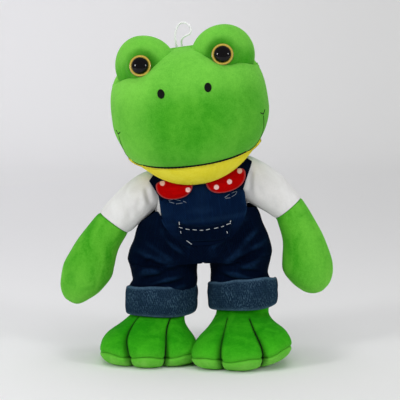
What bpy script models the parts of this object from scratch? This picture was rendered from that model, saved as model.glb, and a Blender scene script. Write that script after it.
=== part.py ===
# A standing plush frog in denim overalls, a white shirt and a dotted bow tie.
# The frog faces -Y, its left and right are those of someone who looks at its face, and it stands on z = 0.

import math

import bmesh
import bpy
from mathutils import Matrix, Vector

# Clearances
gap = 0.0003            # between pieces that touch
running_gap = 0.0007    # round a joint
seam_gap = 0.0008       # between panels sewn edge to edge
overrun = 0.0100        # how far a cutter runs past what it cuts
sweep_step_deg = 17.0
merge_distance = 0.00005
slope_step = 0.0005       # between the places a skin's slope is taken from

# Stance: the trunk leans to the left about the waist
waist_height = 0.1210
pelvis_x = 0.0021
trunk_y = 0.0134        # centres the footprint of the whole toy on the origin
lean_deg = 8.0
chest_shift = 0.0040    # the chest stands to the right of the waist, across the lean

# Torso, a white stuffed body
torso_half_width = 0.0410
torso_half_depth = 0.0275
torso_top = 0.0300
torso_bottom = 0.0090   # below the waist
torso_sides = 24
torso_shares = ((0.0, 0.62), (0.06, 0.80), (0.22, 0.95), (0.45, 1.0), (0.68, 1.0), (0.84, 0.94),
                (0.94, 0.80), (0.99, 0.60))    # height share, width share

# Head
head_half_width = 0.0682
head_front_reach = 0.0580
head_back_reach = 0.0540
head_half_height = 0.0590
head_forward = 0.0100
head_lift = 0.0030      # from the torso's top to the head's lowest point
head_fullness = 2.25    # 2 is an ellipsoid, more is boxier
chin_narrowing_share = 0.12
head_segments = 28
head_rings = 14
plush_thickness = 0.0020
face_seam_forward = 0.0040
mouth_depth = 0.0410    # below the head's middle
mouth_rise_share = 0.24
neck_radius = 0.0120
neck_segments = 16

# Eye mounds
mound_spread = 0.0355
mound_height = 0.0470
mound_forward = 0.0140
mound_half_width = 0.0260
mound_half_depth = 0.0205
mound_half_height = 0.0262
mound_segments = 20

# Safety eyes
eye_spread = 0.0351
eye_height = 0.0484
eye_forward = 0.0340
eye_tilt_deg = 14.0
iris_radius = 0.0092
iris_thickness = 0.0012
iris_rim_share = 0.97   # the flat faces reach this share of the radius
pupil_radius = 0.0073
pupil_height = 0.0042
shank_radius = 0.0022
shank_length = 0.0130
washer_radius = 0.0060
washer_thickness = 0.0015
washer_grip = 0.0090    # from the iris to the washer
eye_steps = 16
pupil_rings = 5

# Nostrils and mouth
nostril_spread = 0.0198
nostril_height = 0.0236
nostril_half_width = 0.0029
nostril_half_height = 0.0038
nostril_thickness = 0.0012
nostril_segments = 16
nostril_rings = 10
piping_radius = 0.0008
mouth_half_width = 0.0470
mouth_points = 17
mouth_passes = 8        # the seam's height and depth are found from each other
cheek_half_width = 0.0624
cheek_height = -0.0070
cheek_points = 5

# Hang loop at the crown, points from the head's middle
loop_diameter = 0.0014
loop_points = 24
tube_steps = 2
loop_route = (
    (-0.0040, -0.0018, 0.0592), (-0.0041, -0.0018, 0.0632), (-0.0040, -0.0010, 0.0690),
    (-0.0022, 0.0010, 0.0750), (0.0020, 0.0020, 0.0792), (0.0072, 0.0002, 0.0782),
    (0.0104, -0.0030, 0.0738), (0.0094, -0.0058, 0.0694), (0.0048, -0.0062, 0.0676),
    (0.0014, -0.0040, 0.0652), (0.0006, -0.0024, 0.0622), (0.0006, -0.0018, 0.0593))

# Arms: a sleeve on the shoulder, a mitt on the sleeve
shoulder_spread = 0.0500
shoulder_height = 0.0230
shoulder_radius = 0.0150
sleeve_length = 0.0340
sleeve_end_radius = 0.0146
sleeve_angle_deg = {"left": 60.0, "right": 47.0}     # from straight down, in the trunk's frame
sleeve_lowest_deg = {"left": -5.0, "right": 0.0}      # the right mitt then rests beside the leg
sleeve_highest_deg = 60.0
elbow_radius = 0.0132
elbow_forward = 0.0042  # the arms hang this far forward at the elbow
elbow_setback = 0.0045  # the sleeve ends this far before the elbow's middle
elbow_back_deg = -15.0
elbow_forward_deg = 30.0
mitt_length = 0.0795
mitt_half_width = 0.0210
mitt_half_depth = 0.0166
mitt_outward = 0.0045   # a mitt swells to its outer side
mitt_forward = 0.0028
mitt_tip_share = 0.70   # of the way outward
mitt_angle_deg = {"left": 31.0, "right": 8.0}
arm_sides = 18
dome_rows = 4
sleeve_rows = 3
# length, width, depth, outward and forward shares
mitt_shares = (
    (0.05, 0.72, 0.84, 0.31, 0.08), (0.18, 0.78, 0.87, 0.70, 0.28), (0.36, 0.875, 0.93, 0.93, 0.53),
    (0.54, 0.98, 0.98, 0.85, 0.75), (0.69, 1.0, 1.0, 0.85, 0.90), (0.82, 0.865, 0.91, 1.10, 0.97),
    (0.92, 0.64, 0.73, 1.20, 1.0), (0.98, 0.37, 0.45, 0.95, 1.0))

# Overalls
denim_thickness = 0.0018
bib_half_width = 0.0360
bib_top = 0.0240
bib_bottom = 0.0050
pocket_half_width = 0.0220
pocket_top = 0.0165
pocket_bottom = 0.0060
pocket_thickness = 0.0012
strap_spread = 0.0260
strap_half_width = 0.0040
seat_half_width = 0.0515
seat_half_depth = 0.0345
waistband_top = 0.0030
seat_depth = 0.0370
seat_sides = 28
seat_shares = ((0.0, 0.22, 0.22), (0.06, 0.52, 0.40), (0.18, 0.80, 0.66), (0.36, 0.96, 0.90),
               (0.60, 1.0, 1.0), (0.84, 0.99, 1.0), (1.0, 0.97, 0.97))       # height, width and depth shares

# Bow tie
bow_height = 0.0255
bow_half_height = 0.0085
bow_knot_half_width = 0.0045
bow_knot_half_height = 0.0050
bow_knot_half_depth = 0.0040
bow_knot_rings = 2
bow_knot_draw_share = 0.84   # smoothed, the knot's sides draw in to this share
bow_knot_sink_share = 0.60   # of the lobes' half thickness
bow_lobe_length = 0.0310
bow_half_thickness = 0.0036
bow_sides = 16
bow_shares = ((0.0, 0.42, 0.55), (0.12, 0.50, 0.70), (0.32, 0.74, 1.0), (0.58, 0.96, 1.0),
              (0.80, 1.0, 0.84), (0.93, 0.84, 0.60), (0.99, 0.48, 0.32))     # length, height, thickness

# Legs
hip_spread = 0.0325
hip_drop = 0.0280       # below the waist
hip_forward = 0.0100    # the crease in front of the leg's middle
hip_back_deg = -5.0
hip_forward_deg = 70.0
leg_top = 0.0050        # above the hip's hinge
leg_half_width = 0.0305
leg_half_depth = 0.0280
cloth_thickness = 0.0016
hem_height = {"left": 0.0370, "right": 0.0430}
cuff_height = 0.0260
cuff_thickness = 0.0030
cuff_rows = 3
leg_sides = 24
leg_shares = ((0.0, 0.91), (0.16, 0.91), (0.32, 0.91), (0.49, 0.91), (0.58, 0.945), (0.70, 0.985),
              (0.84, 1.0), (0.93, 0.90), (0.985, 0.66))                      # height and width shares
ankle_radius = 0.0235
ankle_x = {"left": -0.0306, "right": 0.0412}
ankle_rise = 0.0030     # the ankle ends this far above the hem

# Feet
foot_x = {"left": -0.0424, "right": 0.0426}
foot_y = {"left": -0.0120, "right": -0.0190}
foot_turn_deg = {"left": 0.0, "right": 5.0}
foot_reach = 0.0520
toe_groove_depth = 0.0055
toe_groove_deg = 19.0
toe_groove_width_deg = 6.5
sole_height = 0.0110
foot_sides = 44
foot_rows = 6
sole_rows = 2
outline_shares = ((0.0, 1.0), (22.0, 1.0), (45.0, 1.02), (70.0, 0.86), (90.0, 0.78), (120.0, 0.68),
                  (150.0, 0.68), (180.0, 0.70))                              # degrees from the front, reach
foot_swell = 0.0250     # height of the toes
foot_shares = ((0.0, 0.86, 0.0), (0.12, 0.95, 0.0), (0.30, 1.0, 0.0), (0.44, 1.0, 0.0),
               (0.64, 0.985, 0.0), (0.84, 0.92, 0.08), (1.0, 0.80, 0.30), (1.14, 0.70, 0.70),
               (1.26, 0.64, 1.0))                                            # height, reach, ankle

# Finishes: colour, roughness
finishes = {
    "green_plush": ((0.10, 0.42, 0.03), 0.95),
    "sole_plush": ((0.14, 0.46, 0.05), 0.95),
    "yellow_plush": ((0.68, 0.60, 0.04), 0.95),
    "white_plush": ((0.80, 0.80, 0.78), 0.95),
    "head_fibre": ((0.80, 0.80, 0.78), 0.95),
    "denim": ((0.004, 0.012, 0.035), 0.90),
    "turned_denim": ((0.03, 0.07, 0.12), 0.90),
    "red_cotton": ((0.55, 0.004, 0.006), 0.80),
    "gold_plastic": ((0.60, 0.42, 0.05), 0.25),
    "black_plastic": ((0.008, 0.006, 0.005), 0.12),
    "washer_plastic": ((0.75, 0.75, 0.72), 0.40),
    "black_thread": ((0.01, 0.01, 0.01), 0.70),
    "white_cord": ((0.85, 0.85, 0.85), 0.70)}

x_axis = Vector((1.0, 0.0, 0.0))
y_axis = Vector((0.0, 1.0, 0.0))
z_axis = Vector((0.0, 0.0, 1.0))

parts = bpy.data.collections.new("plush_frog")
cutters = bpy.data.collections.new("cutters")


def clear_scene():
    for item in list(bpy.data.objects):
        bpy.data.objects.remove(item, do_unlink=True)
    bpy.context.scene.collection.children.link(parts)
    bpy.context.scene.collection.children.link(cutters)


def material(name):
    colour, roughness = finishes[name]
    finish = bpy.data.materials.new(name)
    finish.use_nodes = True
    shader = finish.node_tree.nodes["Principled BSDF"]
    shader.inputs["Base Color"].default_value = (*colour, 1.0)
    shader.inputs["Roughness"].default_value = roughness
    return finish


def frame_empty(name, parent, matrix):
    """An empty whose own place is given in its parent's frame."""
    empty = bpy.data.objects.new(name, None)
    parts.objects.link(empty)
    empty.parent = parent
    empty.matrix_local = matrix
    bpy.context.view_layer.update()
    return empty


def add_object(name, bm, parent, finish, matrix=None, collection=parts):
    bmesh.ops.recalc_face_normals(bm, faces=bm.faces)
    mesh = bpy.data.meshes.new(name)
    bm.to_mesh(mesh)
    bm.free()
    mesh.shade_smooth()
    piece = bpy.data.objects.new(name, mesh)
    if finish:
        mesh.materials.append(finish)
    collection.objects.link(piece)
    piece.parent = parent
    piece.matrix_local = matrix or Matrix.Identity(4)
    bpy.context.view_layer.update()
    return piece


def smooth_table(table, at):
    """The value of a table of (place, value) rows at a place, eased between the rows."""
    for (low, first), (high, second) in zip(table, table[1:]):
        if at <= high:
            part = (at - low) / (high - low)
            eased = part * part * (3.0 - 2.0 * part)
            return first + (second - first) * eased
    return table[-1][1]


def oval(centre_x, centre_y, height, half_width, half_depth, sides):
    ring = []
    for step in range(sides):
        angle = math.tau * step / sides
        across = centre_x + half_width * math.cos(angle)
        along = centre_y + half_depth * math.sin(angle)
        ring.append(Vector((across, along, height)))
    return ring


def wall_rings(rings):
    """An open skin through rings of points, and its rows of vertices."""
    bm = bmesh.new()
    rows = [[bm.verts.new(point) for point in ring] for ring in rings]
    count = len(rows[0])
    for lower, upper in zip(rows, rows[1:]):
        for step in range(count):
            after = (step + 1) % count
            bm.faces.new((lower[step], lower[after], upper[after], upper[step]))
    return bm, rows


def skin_rings(rings, low_pole=None, high_pole=None):
    """A skin through rings of points, closed by a fan at a pole, or flat where there is none."""
    bm, rows = wall_rings(rings)
    count = len(rows[0])
    for row, pole in ((rows[0], low_pole), (rows[-1], high_pole)):
        if pole is None:
            bm.faces.new(row)
            continue
        tip = bm.verts.new(pole)
        for step in range(count):
            bm.faces.new((row[step], row[(step + 1) % count], tip))
    return bm


def dome_rings(radius, rows, sides):
    """The upper rings of a ball round the frame's origin, from its equator up."""
    rings = []
    for row in range(rows):
        angle = 0.5 * math.pi * row / rows
        reach = radius * math.cos(angle)
        rings.append(oval(0.0, 0.0, radius * math.sin(angle), reach, reach, sides))
    return rings


def world_mesh(piece, swell=0.0):
    """The piece as it is now, in world places, with its skin moved out by swell."""
    bpy.context.view_layer.update()
    ready = piece.evaluated_get(bpy.context.evaluated_depsgraph_get())
    bm = bmesh.new()
    bm.from_mesh(ready.to_mesh())
    ready.to_mesh_clear()
    bmesh.ops.transform(bm, matrix=piece.matrix_world, verts=bm.verts)
    bm.normal_update()
    moves = [vert.normal * swell for vert in bm.verts]
    for vert, move in zip(bm.verts, moves):
        vert.co += move
    return bm


def as_cutter(name, bm):
    cutter = add_object(name, bm, None, None, collection=cutters)
    cutter.hide_render = True
    cutter.display_type = "WIRE"
    return cutter


def swollen_cutter(piece, swell):
    return as_cutter(piece.name + "_clearance", world_mesh(piece, swell))


def swept_cutter(piece, pivot, axis, first_deg, last_deg, swell):
    """The hull of the piece swollen and turned about its hinge through its range."""
    source = world_mesh(piece, swell)
    points = [vert.co.copy() for vert in source.verts]
    source.free()
    hull = bmesh.new()
    turns = math.ceil((last_deg - first_deg) / sweep_step_deg)
    for turn in range(turns + 1):
        angle = math.radians(first_deg + (last_deg - first_deg) * turn / turns)
        spin = Matrix.Translation(pivot) @ Matrix.Rotation(angle, 4, axis) @ Matrix.Translation(-pivot)
        for point in points:
            hull.verts.new(spin @ point)
    result = bmesh.ops.convex_hull(hull, input=hull.verts)
    spare = result["geom_interior"] + result["geom_unused"]
    inside = {item for item in spare if isinstance(item, bmesh.types.BMVert)}
    bmesh.ops.delete(hull, geom=list(inside), context="VERTS")
    return as_cutter(piece.name + "_sweep", hull)


def cut(piece, cutter):
    modifier = piece.modifiers.new("cut_by_" + cutter.name, "BOOLEAN")
    modifier.operation = "DIFFERENCE"
    modifier.solver = "EXACT"
    modifier.object = cutter


def turned(name, profile, parent, finish, matrix, closed=False, collection=parts):
    """A profile of (radius, height) points, run from top to bottom on its outer side, turned about Z."""
    bm = bmesh.new()
    verts = [bm.verts.new((radius, 0.0, height)) for radius, height in profile]
    for first, second in zip(verts, verts[1:]):
        bm.edges.new((first, second))
    if closed:
        bm.edges.new((verts[-1], verts[0]))
    mesh = bpy.data.meshes.new(name)
    bm.to_mesh(mesh)
    bm.free()
    piece = bpy.data.objects.new(name, mesh)
    if finish:
        mesh.materials.append(finish)
    collection.objects.link(piece)
    piece.parent = parent
    piece.matrix_local = matrix
    screw = piece.modifiers.new("turn", "SCREW")
    screw.steps = eye_steps
    screw.render_steps = eye_steps
    screw.use_merge_vertices = True
    screw.merge_threshold = merge_distance
    bpy.context.view_layer.update()
    return piece


def panel(name, source, splits, keep, lift, thickness, parent, finish):
    """Part of a skin, lifted off it and given a thickness: splits are planes, keep tests a face's middle."""
    bm = bmesh.new()
    bm.from_mesh(source)
    bm.normal_update()
    moves = [vert.normal * lift for vert in bm.verts]
    for vert, move in zip(bm.verts, moves):
        vert.co += move
    for place, normal in splits:
        everything = bm.verts[:] + bm.edges[:] + bm.faces[:]
        bmesh.ops.bisect_plane(bm, geom=everything, plane_co=place, plane_no=normal)
    spare = [face for face in bm.faces if not keep(face.calc_center_median())]
    bmesh.ops.delete(bm, geom=spare, context="FACES")
    mesh = bpy.data.meshes.new(name)
    bm.to_mesh(mesh)
    bm.free()
    mesh.shade_smooth()
    mesh.materials.append(finish)
    piece = bpy.data.objects.new(name, mesh)
    parts.objects.link(piece)
    piece.parent = parent
    shell = piece.modifiers.new("thickness", "SOLIDIFY")
    shell.thickness = abs(thickness)
    shell.offset = math.copysign(1.0, thickness)
    bpy.context.view_layer.update()
    return piece


def smooth_route(points, count):
    """Points along a Catmull-Rom curve through the route's own points."""
    route = [Vector(point) for point in points]
    padded = [2.0 * route[0] - route[1], *route, 2.0 * route[-1] - route[-2]]
    spans = len(route) - 1
    smooth = []
    for step in range(count):
        place = spans * step / (count - 1)
        span = min(int(place), spans - 1)
        part = place - span
        before, first, second, after = padded[span:span + 4]
        smooth.append(0.5 * (2.0 * first + (second - before) * part
                             + (2.0 * before - 5.0 * first + 4.0 * second - after) * part ** 2
                             + (3.0 * first - before - 3.0 * second + after) * part ** 3))
    return smooth


def tube(name, points, radius, parent, finish):
    curve = bpy.data.curves.new(name, "CURVE")
    curve.dimensions = "3D"
    curve.bevel_depth = radius
    curve.bevel_resolution = tube_steps
    curve.use_fill_caps = True
    spline = curve.splines.new("POLY")
    spline.points.add(len(points) - 1)
    for place, point in zip(spline.points, points):
        place.co = (*point, 1.0)
    curve.materials.append(finish)
    piece = bpy.data.objects.new(name, curve)
    parts.objects.link(piece)
    piece.parent = parent
    return piece


# Head

def head_width_at(height_share):
    return head_half_width * (1.0 - chin_narrowing_share * min(0.0, height_share) ** 2)


def front_of_head(across, height):
    """How far forward the head's skin lies at a place seen from the front."""
    height_share = height / head_half_height
    across_share = abs(across) / head_width_at(height_share)
    rest = 1.0 - across_share ** head_fullness - abs(height_share) ** head_fullness
    return -head_front_reach * max(0.0, rest) ** (1.0 / head_fullness)


def head_skin():
    """A ball with its poles at the front and back, swollen to the head's reaches."""
    bm = bmesh.new()
    bmesh.ops.create_uvsphere(bm, u_segments=head_segments, v_segments=head_rings, radius=1.0)
    for vert in bm.verts:
        unit = Vector((vert.co.x, -vert.co.z, vert.co.y))
        total = sum(abs(value) ** head_fullness for value in unit)
        unit /= total ** (1.0 / head_fullness)
        reach = head_front_reach if unit.y < 0.0 else head_back_reach
        vert.co = Vector((unit.x * head_width_at(unit.z), unit.y * reach, unit.z * head_half_height))
    bmesh.ops.recalc_face_normals(bm, faces=bm.faces)
    mesh = bpy.data.meshes.new("head_skin")
    bm.to_mesh(mesh)
    bm.free()
    return mesh


def mouth_plane():
    """A point on the mouth's plane and its normal, up: the seam rises towards the back."""
    front = Vector((0.0, front_of_head(0.0, -mouth_depth), -mouth_depth))
    normal = Vector((0.0, -mouth_rise_share, 1.0)).normalized()
    return front, normal


def build_head_shells(frame, green, yellow):
    skin = head_skin()
    front, up = mouth_plane()
    half_gap = 0.5 * seam_gap
    back = y_axis
    seam = Vector((0.0, -face_seam_forward, 0.0))

    def above_mouth(place):
        return (place - front).dot(up)

    def behind_seam(place):
        return (place - seam).dot(back)

    def in_face(place):
        return behind_seam(place) < -half_gap and above_mouth(place) > half_gap

    def in_chin(place):
        return behind_seam(place) < -half_gap and above_mouth(place) < -half_gap

    def in_back(place):
        return behind_seam(place) > half_gap

    face_splits = ((seam - back * half_gap, back), (front + up * half_gap, up))
    chin_splits = ((seam - back * half_gap, back), (front - up * half_gap, up))
    back_splits = ((seam + back * half_gap, back),)
    panel("face_panel", skin, face_splits, in_face, 0.0, -plush_thickness, frame, green)
    panel("chin_panel", skin, chin_splits, in_chin, 0.0, -plush_thickness, frame, yellow)
    panel("back_of_head", skin, back_splits, in_back, 0.0, -plush_thickness, frame, green)
    core = bmesh.new()
    core.from_mesh(skin)
    core.normal_update()
    moves = [vert.normal * (plush_thickness + gap) for vert in core.verts]
    for vert, move in zip(core.verts, moves):
        vert.co -= move
    add_object("head_stuffing", core, frame, material("head_fibre"))
    whole = bmesh.new()
    whole.from_mesh(skin)
    return add_object("head_outline", whole, frame, None, collection=cutters)


def eye_profile_cutter(name, frame, matrix):
    """The room for one eye: a round recess, the shank's hole and the washer's pocket, on one axis."""
    disc = iris_radius + gap
    hole = shank_radius + gap
    pocket = washer_radius + gap
    top = pupil_height + overrun
    back = -washer_grip - washer_thickness
    profile = ((0.0, top), (disc, top), (disc, -gap), (hole, -gap), (hole, -washer_grip + gap),
               (pocket, -washer_grip + gap), (pocket, back - gap), (hole, back - gap),
               (hole, -shank_length - gap), (0.0, -shank_length - gap))
    cutter = turned(name, profile, frame, None, matrix, collection=cutters)
    cutter.hide_render = True
    cutter.display_type = "WIRE"
    return cutter


def build_eye(side, sign, frame, outline, green, gold, black, clear):
    mound = bmesh.new()
    bmesh.ops.create_uvsphere(mound, u_segments=mound_segments, v_segments=mound_segments // 2, radius=1.0)
    for vert in mound.verts:
        unit = vert.co.copy()
        vert.co = Vector((unit.x * mound_half_width, unit.y * mound_half_depth, unit.z * mound_half_height))
    place = Matrix.Translation((sign * mound_spread, -mound_forward, mound_height))
    mound_piece = add_object(side + "_eye_mound", mound, frame, green, place)
    cut(mound_piece, outline)

    tilt = Matrix.Rotation(math.radians(90.0 - eye_tilt_deg), 4, "X")
    seat = Matrix.Translation((sign * eye_spread, -eye_forward, eye_height)) @ tilt
    room = eye_profile_cutter(side + "_eye_room", frame, seat)
    for name in (side + "_eye_mound", "face_panel", "head_stuffing"):
        cut(bpy.data.objects[name], room)

    rim = iris_radius * iris_rim_share
    iris = ((rim, iris_thickness), (iris_radius, iris_thickness * 0.5), (rim, 0.0),
            (shank_radius + gap, 0.0), (shank_radius + gap, iris_thickness))
    turned(side + "_iris", iris, frame, gold, seat, closed=True)

    base = iris_thickness + gap
    dome = []
    for step in range(pupil_rings + 1):
        angle = 0.5 * math.pi * (1.0 - step / pupil_rings)
        dome.append((pupil_radius * math.cos(angle), base + pupil_height * math.sin(angle)))
    shank = ((shank_radius, base), (shank_radius, -shank_length), (0.0, -shank_length))
    turned(side + "_pupil", (*dome, *shank), frame, black, seat)

    washer = ((washer_radius, -washer_grip), (washer_radius, -washer_grip - washer_thickness),
              (shank_radius + gap, -washer_grip - washer_thickness), (shank_radius + gap, -washer_grip))
    turned(side + "_eye_washer", washer, frame, clear, seat, closed=True)


def skin_normal(across, height):
    here = Vector((across, front_of_head(across, height), height))
    further = across + slope_step
    higher = height + slope_step
    right = Vector((further, front_of_head(further, height), height)) - here
    above = Vector((across, front_of_head(across, higher), higher)) - here
    return here, right.cross(above).normalized()


def build_nostril(side, sign, frame, black):
    here, out = skin_normal(sign * nostril_spread, nostril_height)
    bm = bmesh.new()
    bmesh.ops.create_uvsphere(bm, u_segments=nostril_segments, v_segments=nostril_rings, radius=1.0)
    everything = bm.verts[:] + bm.edges[:] + bm.faces[:]
    bmesh.ops.bisect_plane(bm, geom=everything, plane_co=(0.0, 0.0, 0.0), plane_no=(0.0, 0.0, 1.0),
                           clear_inner=True)
    rim = [edge for edge in bm.edges if edge.is_boundary]
    bmesh.ops.contextual_create(bm, geom=rim)
    for vert in bm.verts:
        vert.co = Vector((vert.co.x * nostril_half_width, vert.co.y * nostril_half_height,
                          vert.co.z * nostril_thickness))
    turn = out.to_track_quat("Z", "Y").to_matrix().to_4x4()
    add_object(side + "_nostril", bm, frame, black, Matrix.Translation(here + out * gap) @ turn)


def mouth_route():
    """Places seen from the front: along the seam, then up each cheek."""
    front, up = mouth_plane()
    seam = []
    for step in range(mouth_points):
        across = mouth_half_width * (2.0 * step / (mouth_points - 1) - 1.0)
        height = -mouth_depth
        for _ in range(mouth_passes):
            ahead = front_of_head(across, height) - front.y
            height = -mouth_depth + mouth_rise_share * ahead
        seam.append((across, height))
    corner = seam[-1]
    cheek = []
    for step in range(1, cheek_points + 1):
        share = step / cheek_points
        across = corner[0] + (cheek_half_width - corner[0]) * math.sin(0.5 * math.pi * share)
        height = corner[1] + (cheek_height - corner[1]) * (1.0 - math.cos(0.5 * math.pi * share))
        cheek.append((across, height))
    left = [(-across, height) for across, height in reversed(cheek)]
    return left + seam + cheek


def build_mouth(frame, black):
    points = []
    for across, height in mouth_route():
        here, out = skin_normal(across, height)
        points.append(here + out * (piping_radius + gap))
    tube("mouth_piping", points, piping_radius, frame, black)


# Trunk

def torso_mesh():
    rings = []
    height = torso_top + torso_bottom
    for height_share, width_share in torso_shares:
        level = -torso_bottom + height * height_share
        shift = chest_shift * height_share
        rings.append(oval(shift, 0.0, level, torso_half_width * width_share,
                          torso_half_depth * width_share, torso_sides))
    bm = skin_rings(rings, None, Vector((chest_shift, 0.0, torso_top)))
    bmesh.ops.recalc_face_normals(bm, faces=bm.faces)
    mesh = bpy.data.meshes.new("torso_skin")
    bm.to_mesh(mesh)
    bm.free()
    return mesh


def build_torso(frame, white):
    skin = torso_mesh()
    bm = bmesh.new()
    bm.from_mesh(skin)
    return add_object("torso", bm, frame, white), skin


def chest_patch(name, middle, half_width, bottom, top, lift, thickness, frame, skin, finish):
    """A rectangle of cloth on the front of the chest, seen from the front."""
    high = Vector((0.0, 0.0, top))
    low = Vector((0.0, 0.0, bottom))
    left = Vector((middle - half_width, 0.0, 0.0))
    right = Vector((middle + half_width, 0.0, 0.0))
    splits = ((high, z_axis), (low, z_axis), (left, x_axis), (right, x_axis), (Vector(), y_axis))

    def inside(at):
        return low.z < at.z < high.z and left.x < at.x < right.x and at.y < 0.0

    panel(name, skin, splits, inside, lift, thickness, frame, finish)


def build_bib(frame, skin, denim):
    chest_patch("bib", chest_shift, bib_half_width, bib_bottom, bib_top, gap, denim_thickness,
                frame, skin, denim)
    chest_patch("pocket", chest_shift, pocket_half_width, pocket_bottom, pocket_top,
                gap + denim_thickness + gap, pocket_thickness, frame, skin, denim)


def build_strap(side, sign, frame, skin, denim):
    """From the bib's top edge over the shoulder and down the back."""
    middle = chest_shift + sign * strap_spread
    left = Vector((middle - strap_half_width, 0.0, 0.0))
    right = Vector((middle + strap_half_width, 0.0, 0.0))
    front_end = Vector((0.0, 0.0, bib_top + gap))
    back_end = Vector((0.0, 0.0, bib_bottom))
    splits = ((left, x_axis), (right, x_axis), (front_end, z_axis), (back_end, z_axis), (Vector(), y_axis))

    def on_strap(at):
        lowest = front_end.z if at.y < 0.0 else back_end.z
        return left.x < at.x < right.x and at.z > lowest

    panel(side + "_strap", skin, splits, on_strap, gap, denim_thickness, frame, denim)


def build_seat(frame, torso, denim):
    rings = []
    height = seat_depth + waistband_top
    for height_share, width_share, depth_share in seat_shares:
        rings.append(oval(0.0, 0.0, -seat_depth + height * height_share, seat_half_width * width_share,
                          seat_half_depth * depth_share, seat_sides))
    seat = add_object("overalls_seat", skin_rings(rings), frame, denim)
    cut(seat, swollen_cutter(torso, gap))
    return seat


def build_bow(frame, torso, red):
    cloth = swollen_cutter(torso, gap + denim_thickness + gap)
    chest = -torso_half_depth - denim_thickness
    knot = bmesh.new()
    bmesh.ops.create_cube(knot, size=2.0)
    for vert in knot.verts:
        vert.co = Vector((vert.co.x * bow_knot_half_width, vert.co.y * bow_knot_half_depth,
                          vert.co.z * bow_knot_half_height))
    centre = Vector((chest_shift, chest - bow_half_thickness * bow_knot_sink_share, bow_height))
    piece = add_object("bow_knot", knot, frame, red, Matrix.Translation(centre))
    soft = piece.modifiers.new("soft", "SUBSURF")
    soft.levels = bow_knot_rings
    soft.render_levels = bow_knot_rings
    cut(piece, cloth)
    for side, sign in (("left", -1.0), ("right", 1.0)):
        rings = []
        for length_share, height_share, thick_share in bow_shares:
            rings.append(oval(0.0, 0.0, bow_lobe_length * length_share, bow_half_height * height_share,
                              bow_half_thickness * thick_share, bow_sides))
        bm = skin_rings(rings, None, Vector((0.0, 0.0, bow_lobe_length)))
        start = centre + Vector((sign * (bow_knot_half_width * bow_knot_draw_share + gap), 0.0, 0.0))
        turn = Matrix.Rotation(math.radians(90.0 * sign), 4, "Y")
        lobe = add_object("bow_" + side + "_lobe", bm, frame, red, Matrix.Translation(start) @ turn)
        cut(lobe, cloth)


# Arms

def build_arm(side, sign, trunk, torso, seat, white, green):
    shoulder = Vector((chest_shift + sign * shoulder_spread, 0.0, shoulder_height))
    swing = math.radians(sleeve_angle_deg[side]) * sign
    hinge = frame_empty(side + "_shoulder", trunk,
                        Matrix.Translation(shoulder) @ Matrix.Rotation(-swing, 4, "Y"))
    rings = list(reversed(dome_rings(shoulder_radius, dome_rows, arm_sides)))
    for step in range(1, sleeve_rows + 1):
        share = step / sleeve_rows
        radius = shoulder_radius + (sleeve_end_radius - shoulder_radius) * share
        along = (sleeve_length - elbow_setback) * share
        rings.append(oval(0.0, -elbow_forward * along / sleeve_length, -along, radius, radius, arm_sides))
    rings.reverse()
    bm = skin_rings(rings, None, Vector((0.0, 0.0, shoulder_radius)))
    sleeve = add_object(side + "_sleeve", bm, hinge, white)

    turn = math.radians(mitt_angle_deg[side] - sleeve_angle_deg[side]) * sign
    elbow_place = Matrix.Translation((0.0, -elbow_forward, -sleeve_length))
    elbow = frame_empty(side + "_elbow", hinge, elbow_place @ Matrix.Rotation(-turn, 4, "Y"))
    rings = list(reversed(dome_rings(elbow_radius, dome_rows, arm_sides)))
    for length_share, width_share, depth_share, outward_share, forward_share in mitt_shares:
        rings.append(oval(sign * mitt_outward * outward_share, -mitt_forward * forward_share,
                          -mitt_length * length_share, mitt_half_width * width_share,
                          mitt_half_depth * depth_share, arm_sides))
    rings.reverse()
    tip = Vector((sign * mitt_outward * mitt_tip_share, -mitt_forward, -mitt_length))
    bm = skin_rings(rings, tip, Vector((0.0, 0.0, elbow_radius)))
    mitt = add_object(side + "_mitt", bm, elbow, green)

    curl_axis = elbow.matrix_world.to_3x3() @ -x_axis
    curl_room = swept_cutter(mitt, elbow.matrix_world.translation, curl_axis,
                             elbow_back_deg, elbow_forward_deg, running_gap)
    cut(sleeve, curl_room)

    axis = trunk.matrix_world.to_3x3() @ y_axis
    pivot = hinge.matrix_world.translation
    first, last = sorted((sign * -sleeve_lowest_deg[side], sign * -sleeve_highest_deg))
    swing_room = swept_cutter(sleeve, pivot, axis, first, last, running_gap)
    for piece in (torso, seat):
        cut(piece, swing_room)


# Legs

def leg_rings(length, centre_top, centre_low, inset):
    rings = []
    height = length + leg_top - inset
    for height_share, width_share in leg_shares:
        level = -length + height * height_share
        middle = centre_low.lerp(centre_top, height_share)
        rings.append(oval(middle.x, middle.y, level, leg_half_width * width_share - inset,
                          leg_half_depth * width_share - inset, leg_sides))
    return rings, Vector((centre_top.x, centre_top.y, leg_top - inset))


def foot_outline(level_share):
    """Points of one level of the foot, from above: a fan of three toes that draws in to the ankle."""
    reach = smooth_table([(row[0], row[1]) for row in foot_shares], level_share)
    ankle = smooth_table([(row[0], row[2]) for row in foot_shares], level_share)
    points = []
    for step in range(foot_sides):
        degrees = 360.0 * step / foot_sides
        from_front = min(degrees, 360.0 - degrees)
        groove = math.exp(-((from_front - toe_groove_deg) / toe_groove_width_deg) ** 2)
        radius = foot_reach * smooth_table(outline_shares, from_front) * reach
        radius -= toe_groove_depth * groove * (1.0 - ankle)
        angle = math.radians(degrees)
        points.append((radius * math.sin(angle), -radius * math.cos(angle), ankle, angle))
    return points


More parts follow.
